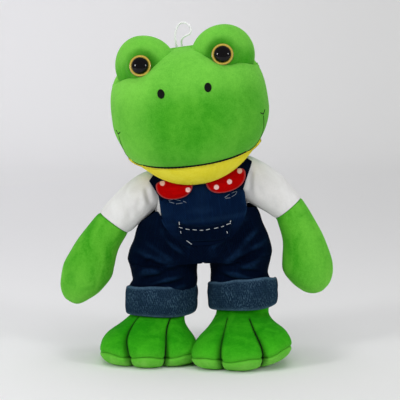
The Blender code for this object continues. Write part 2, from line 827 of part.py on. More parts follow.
def foot_rings(low_share, high_share, rows, ankle_centre, ankle_top):
    rings = []
    for row in range(rows + 1):
        share = low_share + (high_share - low_share) * row / rows
        ring = []
        for across, along, ankle, angle in foot_outline(share):
            round_x = ankle_centre.x + ankle_radius * math.sin(angle)
            round_y = ankle_centre.y - ankle_radius * math.cos(angle)
            ring.append(Vector((across + (round_x - across) * ankle, along + (round_y - along) * ankle,
                                foot_swell * share)))
        rings.append(ring)
    if ankle_top:
        rings.append([Vector((point.x, point.y, ankle_top)) for point in rings[-1]])
    return rings


def build_leg(side, sign, root, trunk, seat, denim, turned_denim, green, sole_green):
    hip = trunk.matrix_world @ Vector((sign * hip_spread, -hip_forward, -hip_drop))
    hinge = frame_empty(side + "_hip", root, root.matrix_world.inverted() @ Matrix.Translation(hip))
    hem = hem_height[side]
    length = hip.z - hem
    middle_top = Vector((0.0, hip_forward, 0.0))
    middle_low = Vector((ankle_x[side] - hip.x, hip_forward, 0.0))

    rings, pole = leg_rings(length, middle_top, middle_low, 0.0)
    bm = skin_rings(rings, None, pole)
    bottom = max(bm.faces, key=lambda face: len(face.verts))
    bmesh.ops.delete(bm, geom=[bottom], context="FACES_ONLY")
    trouser = add_object(side + "_trouser_leg", bm, hinge, denim)
    shell = trouser.modifiers.new("cloth", "SOLIDIFY")
    shell.thickness = cloth_thickness
    shell.offset = -1.0
    cut(seat, swept_cutter(trouser, hip, x_axis, -hip_forward_deg, -hip_back_deg, running_gap))

    inset = cloth_thickness + gap
    ankle_top = hem + ankle_rise
    rings, pole = leg_rings(length - ankle_rise - gap, middle_top, middle_low, inset)
    add_object(side + "_inner_leg", skin_rings(rings, None, pole), hinge, green)

    inner = leg_half_width * leg_shares[0][1] + seam_gap
    inner_depth = leg_half_depth * leg_shares[0][1] + seam_gap
    rings = []
    for row in range(cuff_rows + 1):
        rise = cuff_height * row / cuff_rows
        middle = middle_low.lerp(middle_top, rise / (length + leg_top))
        rings.append(oval(middle.x, middle.y, rise - length, inner, inner_depth, leg_sides))
    bm, _ = wall_rings(rings)
    cuff = add_object(side + "_turn_up", bm, hinge, turned_denim)
    fold = cuff.modifiers.new("fold", "SOLIDIFY")
    fold.thickness = cuff_thickness
    fold.offset = 1.0

    floor = Matrix.Translation((foot_x[side], trunk_y + foot_y[side], 0.0))
    turn = Matrix.Rotation(math.radians(foot_turn_deg[side]), 4, "Z")
    place = hinge.matrix_world.inverted() @ floor @ turn
    ankle = (floor @ turn).inverted() @ (hip + middle_low)
    last_share = foot_shares[-1][0]
    seam = sole_height / foot_swell
    upper = foot_rings(seam + gap / foot_swell, last_share, foot_rows, ankle, ankle_top)
    lower = foot_rings(0.0, seam, sole_rows, ankle, None)
    add_object(side + "_foot", skin_rings(upper), hinge, green, place)
    add_object(side + "_sole", skin_rings(lower), hinge, sole_green, place)


def build():
    clear_scene()
    green = material("green_plush")
    sole_green = material("sole_plush")
    yellow = material("yellow_plush")
    white = material("white_plush")
    denim = material("denim")
    turned_denim = material("turned_denim")
    red = material("red_cotton")
    gold = material("gold_plastic")
    black = material("black_plastic")
    clear = material("washer_plastic")
    thread = material("black_thread")
    cord = material("white_cord")

    root = frame_empty("toy", None, Matrix.Identity(4))
    waist = Matrix.Translation((pelvis_x, trunk_y, waist_height))
    trunk = frame_empty("trunk", root, waist @ Matrix.Rotation(math.radians(-lean_deg), 4, "Y"))
    torso, skin = build_torso(trunk, white)

    neck_place = Vector((chest_shift, 0.0, torso_top + 0.5 * head_lift))
    neck = frame_empty("neck", trunk, Matrix.Translation(neck_place))
    ball = bmesh.new()
    bmesh.ops.create_uvsphere(ball, u_segments=neck_segments, v_segments=neck_segments // 2,
                              radius=neck_radius)
    neck_piece = add_object("neck_stuffing", ball, neck, white)
    neck_room = swollen_cutter(neck_piece, running_gap)

    head_place = Vector((0.0, -head_forward, 0.5 * head_lift + head_half_height))
    head = frame_empty("head", neck, Matrix.Translation(head_place))
    outline = build_head_shells(head, green, yellow)
    outline_room = swollen_cutter(outline, gap)
    bpy.data.objects.remove(outline, do_unlink=True)
    for side, sign in (("left", -1.0), ("right", 1.0)):
        build_eye(side, sign, head, outline_room, green, gold, black, clear)
        build_nostril(side, sign, head, thread)
    build_mouth(head, thread)
    tube("hang_loop", smooth_route(loop_route, loop_points), 0.5 * loop_diameter, head, cord)
    for name in ("back_of_head", "head_stuffing"):
        cut(bpy.data.objects[name], neck_room)

    build_bib(trunk, skin, denim)
    seat = build_seat(trunk, torso, denim)
    build_bow(trunk, torso, red)
    for side, sign in (("left", -1.0), ("right", 1.0)):
        build_strap(side, sign, trunk, skin, denim)
        build_arm(side, sign, trunk, torso, seat, white, green)
        build_leg(side, sign, root, trunk, seat, denim, turned_denim, green, sole_green)
    cut(torso, neck_room)


build()
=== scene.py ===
import math
import bpy
import bmesh
import numpy as np
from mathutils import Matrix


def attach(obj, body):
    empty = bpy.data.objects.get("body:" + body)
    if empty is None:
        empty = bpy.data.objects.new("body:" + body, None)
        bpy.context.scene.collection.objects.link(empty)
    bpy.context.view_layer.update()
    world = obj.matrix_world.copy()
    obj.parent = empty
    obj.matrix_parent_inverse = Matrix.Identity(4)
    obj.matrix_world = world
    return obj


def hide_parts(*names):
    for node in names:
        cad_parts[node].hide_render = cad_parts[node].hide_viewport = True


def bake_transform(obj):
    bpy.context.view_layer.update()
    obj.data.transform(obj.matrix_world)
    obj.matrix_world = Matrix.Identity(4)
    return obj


# A standing plush frog in denim overalls, white sleeves and a dotted bow tie.
# It faces -Y and stands on z = 0. Tables are in millimetres, and mm turns them into metres.

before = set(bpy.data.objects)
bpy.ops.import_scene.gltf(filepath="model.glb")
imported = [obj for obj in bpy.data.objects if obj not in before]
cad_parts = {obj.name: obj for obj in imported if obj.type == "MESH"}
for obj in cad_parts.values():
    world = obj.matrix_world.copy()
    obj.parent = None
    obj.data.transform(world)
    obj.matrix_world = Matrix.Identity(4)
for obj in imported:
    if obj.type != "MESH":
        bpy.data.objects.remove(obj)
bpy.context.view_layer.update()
mm = 0.001
sides = dict(Left=-1.0, Right=1.0)

# Where the trunk and the head stand
stance = dict(waist=(2.1, 13.4, 121.0), leanDeg=8.0, neck=(4.0, 0.0, 31.5), head=(6.4, -10.0, 92.0),
              headTurnDeg=-2.0)

lean = math.radians(stance["leanDeg"])
headTurn = math.radians(stance["headTurnDeg"])
headAxes = np.array([[math.cos(headTurn), math.sin(headTurn), 0],
                     [-math.sin(headTurn), math.cos(headTurn), 0], [0, 0, 1]])
trunkAxes = np.array([[math.cos(lean), 0, math.sin(lean)], [0, 1, 0], [-math.sin(lean), 0, math.cos(lean)]])


def fromTrunk(points):
    # world = waist + x X + y Y + z Z, where X, Y and Z are the leaning trunk's axes; mm in, metres out
    return (np.asarray(points, float) @ trunkAxes + np.array(stance["waist"])) * mm


def fromHead(points):
    # the head turns round its own upright axis and leans as the trunk does
    return fromTrunk(np.asarray(points, float) @ headAxes + np.array(stance["head"]))


def addObject(name, data):
    # a new object of the scene that holds the data
    made = bpy.data.objects.new(name, data)
    bpy.context.scene.collection.objects.link(made)
    return made


# camera and cord first
camera = dict(place=(3.5, -1376.2, 307.3), downDeg=7.0, lens=143.2)

cameraData = bpy.data.cameras.new("photoCamera")
cameraData.lens = camera["lens"]
cameraData.sensor_width = 36.0
cameraData.clip_start = 0.05
cameraObject = addObject("photoCamera", cameraData)
cameraObject.location = [value * mm for value in camera["place"]]
cameraObject.rotation_euler = (math.radians(90.0 - camera["downDeg"]), 0.0, 0.0)
bpy.context.scene.camera = cameraObject
print("camera placed")


# mesh helpers
def smoothRows(table, count):
    # Catmull-Rom between rows b and c: 0.5 (2b + (c - a) t + (2a - 5b + 4c - d) t^2 + (3b - a - 3c + d) t^3)
    rows = np.asarray(table, float)
    padded = np.vstack([2 * rows[0] - rows[1], rows, 2 * rows[-1] - rows[-2]])
    place = np.linspace(0, len(rows) - 1, count)
    span = np.minimum(place.astype(int), len(rows) - 2)
    t = (place - span)[:, None]
    a, b, c, d = (padded[span + step] for step in range(4))
    square, cube = 2 * a - 5 * b + 4 * c - d, 3 * b - a - 3 * c + d
    return 0.5 * (2 * b + (c - a) * t + square * t ** 2 + cube * t ** 3)


def unit(share):
    # cut off below 0 and above 1
    return np.clip(share, 0, 1)


def eased(share):
    # s(t) = 3 t^2 - 2 t^3, between 0 and 1
    share = np.clip(share, 0, 1)
    return share * share * (3 - 2 * share)


def fullTurn(count):
    # angles round a circle
    return np.linspace(0, math.tau, count, endpoint=False)


def signedPower(value, power):
    # sign(v) |v|^p
    return np.sign(value) * np.abs(value) ** power


def gridNormals(grid):
    # for a grid that closes on itself: n = (dP/dcolumn x dP/drow) / length, pointing away from its middle
    acrossStep = np.roll(grid, -1, axis=1) - np.roll(grid, 1, axis=1)
    alongStep = np.gradient(grid, axis=0)
    normals = np.cross(acrossStep, alongStep)
    normals /= np.maximum(np.linalg.norm(normals, axis=2, keepdims=True), 1e-12)
    outward = grid - grid.mean(axis=(0, 1))
    return normals if (normals * outward).sum() > 0 else -normals


def gridPiece(name, grid, finish, wrap=True, caps=True, uvSize=(1.0, 1.0), values=None, shut=False):
    # quads join neighbours of a rows x columns grid of points; a wrapped grid closes on itself, and a cap is
    # a fan from an end row to its mean; u and v run with the columns and the rows over uvSize
    rows, columns = grid.shape[:2]
    points = grid.reshape(-1, 3)
    lastColumn = columns if wrap else columns - 1
    i, j = np.meshgrid(np.arange(rows - 1), np.arange(lastColumn), indexing="ij")
    after = (j + 1) % columns
    corners = (i * columns + j, i * columns + after, (i + 1) * columns + after, (i + 1) * columns + j)
    quads = np.stack(corners, -1).reshape(-1, 4)
    u = np.stack([j, j + 1, j + 1, j], -1).reshape(-1) / lastColumn * uvSize[0]
    v = np.stack([i, i, i + 1, i + 1], -1).reshape(-1) / (rows - 1) * uvSize[1]
    faces = quads.tolist()
    if wrap and caps:
        around = np.arange(columns)
        nextRound = (around + 1) % columns
        lowPole = len(points)
        topRow = (rows - 1) * columns
        points = np.vstack([points, grid[0].mean(axis=0), grid[-1].mean(axis=0)])
        low = np.stack([nextRound, around, np.full(columns, lowPole)], -1)
        high = np.stack([topRow + around, topRow + nextRound, np.full(columns, lowPole + 1)], -1)
        faces += low.tolist() + high.tolist()
        ends = np.stack([around + 1, around, around + 0.5], -1).reshape(-1) / columns * uvSize[0]
        starts = np.stack([around, around + 1, around + 0.5], -1).reshape(-1) / columns * uvSize[0]
        u = np.concatenate([u, ends, starts])
        v = np.concatenate([v, np.zeros(3 * columns), np.full(3 * columns, uvSize[1])])
    mesh = bpy.data.meshes.new(name)
    mesh.from_pydata(points.tolist(), [], faces)
    layer = mesh.uv_layers.new(name="cloth")
    layer.data.foreach_set("uv", np.stack([u, v], -1).astype(np.float32).ravel())
    for title, array in (values or {}).items():
        flat = np.asarray(array, float).reshape(-1)
        flat = np.concatenate([flat, np.full(len(points) - len(flat), flat.mean())])
        mesh.attributes.new(title, "FLOAT", "POINT").data.foreach_set("value", flat.astype(np.float32))
    mesh.materials.append(finish)
    piece = addObject(name, mesh)
    turnOut(piece, shut or (wrap and caps))
    mesh.shade_smooth()
    return piece


def turnOut(piece, shut):
    # doubles are merged; the signed volume sum(a . (b x c)) / 6 of a closed mesh must be positive
    work = bmesh.new()
    work.from_mesh(piece.data)
    bmesh.ops.remove_doubles(work, verts=work.verts, dist=0.000002)
    if shut:
        bmesh.ops.recalc_face_normals(work, faces=work.faces)
        if work.calc_volume(signed=True) < 0:
            bmesh.ops.reverse_faces(work, faces=work.faces)
    work.to_mesh(piece.data)
    work.free()


def faceOut(piece, middle):
    # for an open sheet: the faces are turned over where they look, on the whole, towards the middle
    mesh = piece.data
    count = len(mesh.polygons)
    centres = np.empty(count * 3)
    normals = np.empty(count * 3)
    mesh.polygons.foreach_get("center", centres)
    mesh.polygons.foreach_get("normal", normals)
    away = centres.reshape(-1, 3) - np.asarray(middle)
    if (away * normals.reshape(-1, 3)).sum() < 0:
        mesh.flip_normals()


def thicken(piece, thickness):
    # the cloth's thickness goes inwards from the surface that is seen
    shell = piece.modifiers.new("clothThickness", "SOLIDIFY")
    shell.thickness = thickness
    shell.offset = -1.0
    shell.use_quality_normals = True


def tubeGrid(path, radius, columns):
    # circles of the given radius round a path, on a frame (t, n, b) with n = guide x t / length
    path = np.asarray(path, float)
    along = np.gradient(path, axis=0)
    along /= np.maximum(np.linalg.norm(along, axis=1, keepdims=True), 1e-12)
    guide = np.array([0.31, -0.83, 0.46])
    first = np.cross(np.broadcast_to(guide, along.shape), along)
    first /= np.maximum(np.linalg.norm(first, axis=1, keepdims=True), 1e-12)
    second = np.cross(along, first)
    angle = fullTurn(columns)
    radius = np.broadcast_to(np.asarray(radius, float), (len(path),))[:, None, None]
    ring = np.cos(angle)[None, :, None] * first[:, None] + np.sin(angle)[None, :, None] * second[:, None]
    return path[:, None] + ring * radius


def joinPieces(pieces, name):
    # several small pieces of one kind become one object
    work = bmesh.new()
    for piece in pieces:
        work.from_mesh(piece.data)
    mesh = bpy.data.meshes.new(name)
    work.to_mesh(mesh)
    work.free()
    mesh.materials.append(pieces[0].data.materials[0])
    for piece in pieces:
        bpy.data.objects.remove(piece, do_unlink=True)
    mesh.shade_smooth()
    return addObject(name, mesh)


def sheetPiece(name, grid, finish, thickness, middle, **more):
    # an open sheet of cloth that faces away from its middle, thickened inwards
    piece = gridPiece(name, grid, finish, **more)
    faceOut(piece, middle)
    thicken(piece, thickness * mm)
    return piece


def settle(piece, body, node=None):
    # the piece moves with its body when one is given, and stands for its node
    if body:
        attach(piece, body)
    if node:
        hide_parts(node)


# node groups and materials
def newGroup(name, inputs, outputs):
    group = bpy.data.node_groups.new(name, "ShaderNodeTree")
    for title, kind, value in inputs:
        socket = group.interface.new_socket(title, in_out="INPUT", socket_type=kind)
        socket.default_value = value
    for title, kind in outputs:
        group.interface.new_socket(title, in_out="OUTPUT", socket_type=kind)
    return group, group.nodes.new("NodeGroupInput"), group.nodes.new("NodeGroupOutput")


def feed(tree, socket, value):
    # a socket is linked, a colour is made opaque, and another value is set
    if isinstance(value, bpy.types.NodeSocket):
        tree.links.new(value, socket)
    elif socket.type == "RGBA":
        socket.default_value = (*value, 1)
    else:
        socket.default_value = value


def addNode(tree, kind, settings=None, **inputs):
    # inputs are named by their socket with _ for a space; a value is set, and a socket is linked
    node = tree.nodes.new(kind)
    for title, value in (settings or {}).items():
        setattr(node, title, value)
    for title, value in inputs.items():
        key = int(title[1:]) if title[0] == "i" and title[1:].isdigit() else title.replace("_", " ")
        feed(tree, node.inputs[key], value)
    return node


def mathNode(tree, operation, first, second=0.5):
    # operations of one value leave the second alone
    return addNode(tree, "ShaderNodeMath", {"operation": operation}, i0=first, i1=second).outputs[0]


def times(tree, first, second):
    # first x second, as a node
    return mathNode(tree, "MULTIPLY", first, second)


def plus(tree, first, second):
    # first + second, as a node
    return mathNode(tree, "ADD", first, second)


def attributeOf(tree, title):
    # the value that the mesh carries at its points under this title
    return addNode(tree, "ShaderNodeAttribute", {"attribute_name": title}).outputs["Fac"]


def darker(colour, share):
    # every channel times the share
    return tuple(value * share for value in colour)


def mixColour(tree, share, first, second):
    # first + share (second - first)
    node = addNode(tree, "ShaderNodeMix", {"data_type": "RGBA"})
    for index, value in ((0, share), (6, first), (7, second)):
        feed(tree, node.inputs[index], value)
    return node.outputs[2]


def noiseNode(tree, place, scale, detail=2.0, roughness=0.5, distortion=0.0):
    # soft random spots between 0 and 1, scale of them to a metre
    return addNode(tree, "ShaderNodeTexNoise", Vector=place, Scale=scale, Detail=detail, Roughness=roughness,
                   Distortion=distortion).outputs["Fac"]


def waveNode(tree, place, scale, distortion):
    # even stripes between 0 and 1, bent by the distortion
    return addNode(tree, "ShaderNodeTexWave", Vector=place, Scale=scale, Distortion=distortion).outputs["Fac"]


def mapped(tree, place, scale=(1.0, 1.0, 1.0), turn=(0.0, 0.0, 0.0)):
    # the place, stretched along each axis and then turned
    return addNode(tree, "ShaderNodeMapping", Vector=place, Rotation=turn, Scale=scale).outputs[0]


def rampShare(tree, value, low, high):
    # 0 below low, 1 above high, eased between
    easing = {"interpolation_type": "SMOOTHSTEP"}
    return addNode(tree, "ShaderNodeMapRange", easing, Value=value, From_Min=low, From_Max=high).outputs[0]


def buildPileGroup():
    # short plush: patches where the pile is brushed the other way, and a fibre grain for the bump
    group, given, out = newGroup("plushPile", [
        ("Vector", "NodeSocketVector", (0, 0, 0)), ("Deep", "NodeSocketColor", (0, 0, 0, 1)),
        ("Lit", "NodeSocketColor", (1, 1, 1, 1)), ("Patch Scale", "NodeSocketFloat", 60.0),
        ("Patch Share", "NodeSocketFloat", 0.6), ("Fibre Scale", "NodeSocketFloat", 900.0)],
        [("Color", "NodeSocketColor"), ("Height", "NodeSocketFloat")])
    place = given.outputs["Vector"]
    stretch = mapped(group, place, (1.0, 1.0, 0.55))
    patches = noiseNode(group, stretch, given.outputs["Patch Scale"], 3.0, 0.55, 0.6)
    patches = rampShare(group, patches, 0.36, 0.66)
    small = noiseNode(group, place, times(group, given.outputs["Patch Scale"], 7.0), 2.0)
    fibre = noiseNode(group, place, given.outputs["Fibre Scale"], 3.0, 0.65)
    share = times(group, patches, given.outputs["Patch Share"])
    share = plus(group, share, times(group, small, 0.35))
    share = plus(group, share, times(group, fibre, 0.60))
    share = mathNode(group, "SUBTRACT", share, 0.27)
    colour = mixColour(group, share, given.outputs["Deep"], given.outputs["Lit"])
    height = plus(group, times(group, small, 0.5), fibre)
    group.links.new(colour, out.inputs["Color"])
    group.links.new(height, out.inputs["Height"])
    return group


def buildTwillGroup():
    # denim: threads at right angles in U and V, the raised ones stepping sideways row by row, and slubs
    group, given, out = newGroup("denimTwill", [
        ("Vector", "NodeSocketVector", (0, 0, 0)), ("Place", "NodeSocketVector", (0, 0, 0)),
        ("Dark", "NodeSocketColor", (0, 0, 0, 1)), ("Light", "NodeSocketColor", (1, 1, 1, 1)),
        ("Threads", "NodeSocketFloat", 900.0), ("Show", "NodeSocketFloat", 0.5),
        ("Slub", "NodeSocketFloat", 0.4)],
        [("Color", "NodeSocketColor"), ("Height", "NodeSocketFloat")])
    parts = addNode(group, "ShaderNodeSeparateXYZ", Vector=given.outputs["Vector"])
    across = times(group, parts.outputs[0], given.outputs["Threads"])
    along = times(group, parts.outputs[1], given.outputs["Threads"])
    diagonal = plus(group, across, times(group, along, 0.62))
    wave = mathNode(group, "SINE", times(group, diagonal, math.pi))
    ridge = mathNode(group, "POWER", mathNode(group, "ABSOLUTE", wave), 0.8)
    thread = mathNode(group, "ABSOLUTE", mathNode(group, "SINE", times(group, along, math.pi * 1.5)))
    weave = times(group, ridge, plus(group, times(group, thread, 0.5), 0.5))
    drawn = mapped(group, given.outputs["Vector"], (1.0, 0.10, 1.0))
    slub = noiseNode(group, drawn, times(group, given.outputs["Threads"], 1.1), 2.0, 0.6)
    slub = rampShare(group, slub, 0.45, 0.75)
    cloud = noiseNode(group, given.outputs["Place"], 55.0, 3.0, 0.6)
    share = times(group, weave, given.outputs["Show"])
    share = plus(group, share, times(group, slub, given.outputs["Slub"]))
    share = times(group, share, plus(group, cloud, 0.45))
    colour = mixColour(group, share, given.outputs["Dark"], given.outputs["Light"])
    group.links.new(colour, out.inputs["Color"])
    group.links.new(weave, out.inputs["Height"])
    return group


def newMaterial(name, roughness, specular=0.3, sheen=0.0, sheenTint=(1, 1, 1)):
    # an empty material; gives its node tree, its shader and the place of a point on the object as well
    made = bpy.data.materials.new(name)
    made.use_nodes = True
    tree = made.node_tree
    shader = tree.nodes["Principled BSDF"]
    for title, value in (("Roughness", roughness), ("Specular IOR Level", specular), ("Sheen Weight", sheen),
                         ("Sheen Roughness", 0.45), ("Sheen Tint", sheenTint)):
        feed(tree, shader.inputs[title], value)
    place = tree.nodes.new("ShaderNodeTexCoord").outputs["Object"]
    return made, tree, shader, place


def paint(tree, shader, colour):
    # the colour becomes the shader's own
    tree.links.new(colour, shader.inputs["Base Color"])


def addBump(tree, shader, height, strength, distance):
    # the normal tilts as the height rises and falls
    bump = addNode(tree, "ShaderNodeBump", Strength=strength, Distance=distance, Height=height)
    tree.links.new(bump.outputs[0], shader.inputs["Normal"])


pileGroup = buildPileGroup()
twillGroup = buildTwillGroup()


def plushMaterial(name, deep, lit, tint, patchShare, sheen, patchScale=60.0, bump=0.5, paintedShadeColour=None,
                  paleColour=None):
    # pile in patches of two shades; crease mixes it to a colour of painted shade, and pale to a paler
    # colour, which is painted light on the head and the eye mounds
    made, tree, shader, place = newMaterial(name, 0.95, 0.04, sheen, tint)
    pile = addNode(tree, "ShaderNodeGroup", {"node_tree": pileGroup}, Vector=place, Deep=deep, Lit=lit,
                   Patch_Scale=patchScale, Patch_Share=patchShare)
    colour = pile.outputs["Color"]
    # crease gives painted shade; pale gives painted light on the head and the eye mounds, a lighter tone
    # elsewhere
    if paintedShadeColour:
        pale = times(tree, attributeOf(tree, "pale"), plus(tree, pile.outputs["Height"], 0.36))
        colour = mixColour(tree, pale, colour, paleColour)
        colour = mixColour(tree, attributeOf(tree, "crease"), colour, paintedShadeColour)
    paint(tree, shader, colour)
    addBump(tree, shader, pile.outputs["Height"], bump, 0.0006)
    return made


def denimMaterial(name, dark, light, threads, show, slub, wearColour, joined=None, speckle=0.0):
    # join mixes the cloth to a second colour; speckle shows the pale weft threads in grains, in patches
    made, tree, shader, place = newMaterial(name, 0.92, 0.02)
    cloth = addNode(tree, "ShaderNodeUVMap", {"uv_map": "cloth"}).outputs[0]
    weave = addNode(tree, "ShaderNodeGroup", {"node_tree": twillGroup}, Vector=cloth, Place=place, Dark=dark,
                    Light=light, Threads=threads, Show=show, Slub=slub)
    broken = times(tree, attributeOf(tree, "wear"), noiseNode(tree, place, 400.0, 2.0))
    colour = mixColour(tree, broken, weave.outputs["Color"], wearColour)
    if joined:
        colour = mixColour(tree, attributeOf(tree, "join"), colour, joined)
    if speckle:
        slanted = mapped(tree, cloth, (1.0, 0.62, 1.0), (0.0, 0.0, -0.7))
        grains = rampShare(tree, noiseNode(tree, slanted, 1150.0, 1.0), 0.46, 0.68)
        patches = rampShare(tree, noiseNode(tree, place, 75.0, 2.0), 0.36, 0.62)
        grains = times(tree, grains, plus(tree, times(tree, patches, 0.75), 0.25))
        colour = mixColour(tree, times(tree, grains, speckle), colour, wearColour)
    paint(tree, shader, colour)
    addBump(tree, shader, weave.outputs["Height"], 0.35, 0.0004)
    return made


def threadMaterial(name, colour, roughness, scale=2500.0, shade=0.62):
    # a twisted thread: fine slanting bands that darken and dent it
    made, tree, shader, place = newMaterial(name, roughness, 0.12)
    turned = mapped(tree, place, turn=(0.5, 0.3, 0.7))
    bands = waveNode(tree, turned, scale / 6.0, 2.0)
    paint(tree, shader, mixColour(tree, bands, darker(colour, shade), colour))
    addBump(tree, shader, bands, 0.4, 0.0002)
    return made


def dottedMaterial(name, ground, dot, places, radius):
    # round dots at (x, z) places: the mask is 1 where the distance, frayed by the weave, is under the radius
    made, tree, shader, place = newMaterial(name, 0.9, 0.02)
    flat = mapped(tree, place, (1.0, 0.0, 1.0))
    distance = {"operation": "DISTANCE"}
    nearest = None
    for x, z in places:
        far = addNode(tree, "ShaderNodeVectorMath", distance, i0=flat,
                      i1=(x * mm, 0.0, z * mm)).outputs["Value"]
        nearest = far if nearest is None else mathNode(tree, "MINIMUM", nearest, far)
    weave = noiseNode(tree, place, 1400.0, 2.0)
    ragged = plus(tree, nearest, times(tree, weave, radius * mm * 0.3))
    mask = mathNode(tree, "SUBTRACT", 1.0, rampShare(tree, ragged, radius * mm * 0.95, radius * mm * 1.3))
    cloud = noiseNode(tree, place, 120.0, 2.0)
    base = mixColour(tree, times(tree, cloud, 0.8), ground, darker(ground, 0.70))
    # the hem shows a paler line
    base = mixColour(tree, attributeOf(tree, "hem"), base, tuple(0.5 * value + 0.10 for value in ground))
    paint(tree, shader, mixColour(tree, mask, base, dot))
    grain = waveNode(tree, place, 500.0, 1.0)
    addBump(tree, shader, plus(tree, grain, weave), 0.3, 0.0002)
    return made


def goldMaterial():
    # painted gold behind clear plastic: flecks that vary, darker towards the rim
    made, tree, shader, place = newMaterial("goldRing", 0.28, 0.5)
    flecks = noiseNode(tree, place, 1800.0, 3.0, 0.7)
    colour = mixColour(tree, flecks, (0.40, 0.26, 0.015), (0.84, 0.63, 0.085))
    paint(tree, shader, mixColour(tree, attributeOf(tree, "rim"), colour, (0.16, 0.09, 0.01)))
    shader.inputs["Coat Weight"].default_value = 0.6
    shader.inputs["Coat Roughness"].default_value = 0.08
    addBump(tree, shader, flecks, 0.1, 0.0001)
    return made


def glossBlackMaterial():
    # black plastic with a faint haze of wear
    made, tree, shader, place = newMaterial("glossBlack", 0.07, 0.16)
    haze = noiseNode(tree, place, 300.0, 3.0)
    paint(tree, shader, mixColour(tree, haze, (0.0015, 0.0015, 0.002), (0.004, 0.003, 0.003)))
    tree.links.new(times(tree, haze, 0.10), shader.inputs["Roughness"])
    shader.inputs["Coat Weight"].default_value = 0.12
    shader.inputs["Coat Roughness"].default_value = 0.03
    return made


def washerMaterial():
    # the off-white plastic of the washers that hold the eyes from behind
    made, tree, shader, place = newMaterial("washerPlastic", 0.4)
    grain = noiseNode(tree, place, 500.0, 3.0)
    paint(tree, shader, mixColour(tree, grain, (0.66, 0.66, 0.63), (0.80, 0.80, 0.77)))
    addBump(tree, shader, grain, 0.1, 0.0002)
    return made


# green plush; its paler colour, mixed in by the pale share, is painted light on the head and the eye mounds
green = dict(deep=(0.022, 0.285, 0.005), lit=(0.150, 0.540, 0.042), tint=(0.55, 0.85, 0.35),
             paleColour=(0.225, 0.670, 0.080))

greenPlush = plushMaterial("greenPlush", **green, patchScale=30.0, patchShare=0.38, sheen=0.28,
                           paintedShadeColour=green["deep"])
# the eye mounds' crease colour, a darker green, is painted shade
moundPlush = plushMaterial("moundPlush", **green, patchScale=30.0, patchShare=0.45, sheen=0.32,
                           paintedShadeColour=darker(green["deep"], 0.35))
limbPlush = plushMaterial("limbPlush", **green, patchShare=0.45, sheen=0.20, paintedShadeColour=green["deep"])
footPlush = plushMaterial("footPlush", deep=(0.004, 0.245, 0.001), lit=(0.048, 0.440, 0.010),
                          tint=green["tint"], patchShare=0.45, sheen=0.03, paintedShadeColour=(0.003, 0.055, 0.001),
                          paleColour=(0.105, 0.530, 0.030))
solePlush = plushMaterial("solePlush", deep=(0.100, 0.470, 0.030), lit=(0.280, 0.690, 0.115),
                          tint=green["tint"], patchShare=0.45, sheen=0.08, paintedShadeColour=(0.012, 0.11, 0.003),
                          paleColour=(0.090, 0.480, 0.024))
yellowPlush = plushMaterial("yellowPlush", deep=(0.760, 0.650, 0.020), lit=(0.880, 0.800, 0.075),
                            tint=(0.9, 0.85, 0.4), patchShare=0.5, sheen=0.05, bump=0.3)
whitePlush = plushMaterial("whitePlush", deep=(0.700, 0.692, 0.684), lit=(0.835, 0.832, 0.828),
                           tint=(0.9, 0.9, 0.9), patchShare=0.5, sheen=0.05, bump=0.3)
navyDenim = denimMaterial("navyDenim", dark=(0.0004, 0.0018, 0.0075), light=(0.0016, 0.0076, 0.027),
                          threads=620.0, show=0.50, slub=0.35, wearColour=(0.006, 0.022, 0.060))
bibDenim = denimMaterial("bibDenim", dark=(0.0010, 0.0052, 0.021), light=(0.0040, 0.0200, 0.068),
                         threads=620.0, show=0.50, slub=0.35, wearColour=(0.014, 0.045, 0.105),
                         joined=(0.0010, 0.0044, 0.0165))
cuffDenim = denimMaterial("cuffDenim", dark=(0.0020, 0.0090, 0.026), light=(0.026, 0.063, 0.106),
                          threads=640.0, show=0.50, slub=0.12, wearColour=(0.095, 0.180, 0.270), speckle=0.42)
redCotton = dottedMaterial("redCotton", ground=(0.470, 0.0010, 0.0010), dot=(0.80, 0.52, 0.50), radius=2.2,
                           places=((-29.0, 154.7), (-6.8, 149.4), (17.6, 151.8), (28.8, 156.5), (37.7, 165.1),
                                   (-18.0, 162.5), (-34.0, 166.0), (8.0, 161.0), (24.0, 168.0)))
blackThread = threadMaterial("blackThread", (0.004, 0.005, 0.004), 0.6)
greenThread = threadMaterial("greenThread", (0.006, 0.060, 0.003), 0.7)
whiteThread = threadMaterial("whiteThread", (0.62, 0.66, 0.70), 0.6)
paleThread = threadMaterial("paleThread", (0.28, 0.33, 0.40), 0.7)
whiteCord = threadMaterial("whiteCord", (0.95, 0.95, 0.95), 0.8, scale=1500.0, shade=0.85)
goldRing = goldMaterial()
glossBlack = glossBlackMaterial()
washerPlastic = washerMaterial()
print("materials made")


# hang loop, the one cord: points from the head's middle
loop = dict(diameter=1.6, route=(
    (-4.0, -1.8, 59.2), (-4.1, -1.8, 63.2), (-4.0, -1.0, 69.0), (-2.2, 1.0, 75.0), (2.0, 2.0, 79.2),
    (7.2, 0.2, 78.2), (10.4, -3.0, 73.8), (9.4, -5.8, 69.4), (4.8, -6.2, 67.6), (1.4, -4.0, 65.2),
    (0.6, -2.4, 62.2), (0.6, -1.8, 59.3)))

loopPoints = fromHead(smoothRows(loop["route"], 34))
loopCurve = bpy.data.curves.new("hangLoop", "CURVE")
loopCurve.dimensions = "3D"
loopCurve.bevel_depth = 0.5 * loop["diameter"] * mm
loopCurve.bevel_resolution = 4
loopCurve.use_fill_caps = True
loopSpline = loopCurve.splines.new("POLY")
loopSpline.points.add(len(loopPoints) - 1)
loopSpline.points.foreach_set("co", np.hstack([loopPoints, np.ones((len(loopPoints), 1))]).ravel())
loopCurve.materials.append(whiteCord)
hangLoop = addObject("hangLoop", loopCurve)
settle(hangLoop, "head", "hang_loop")


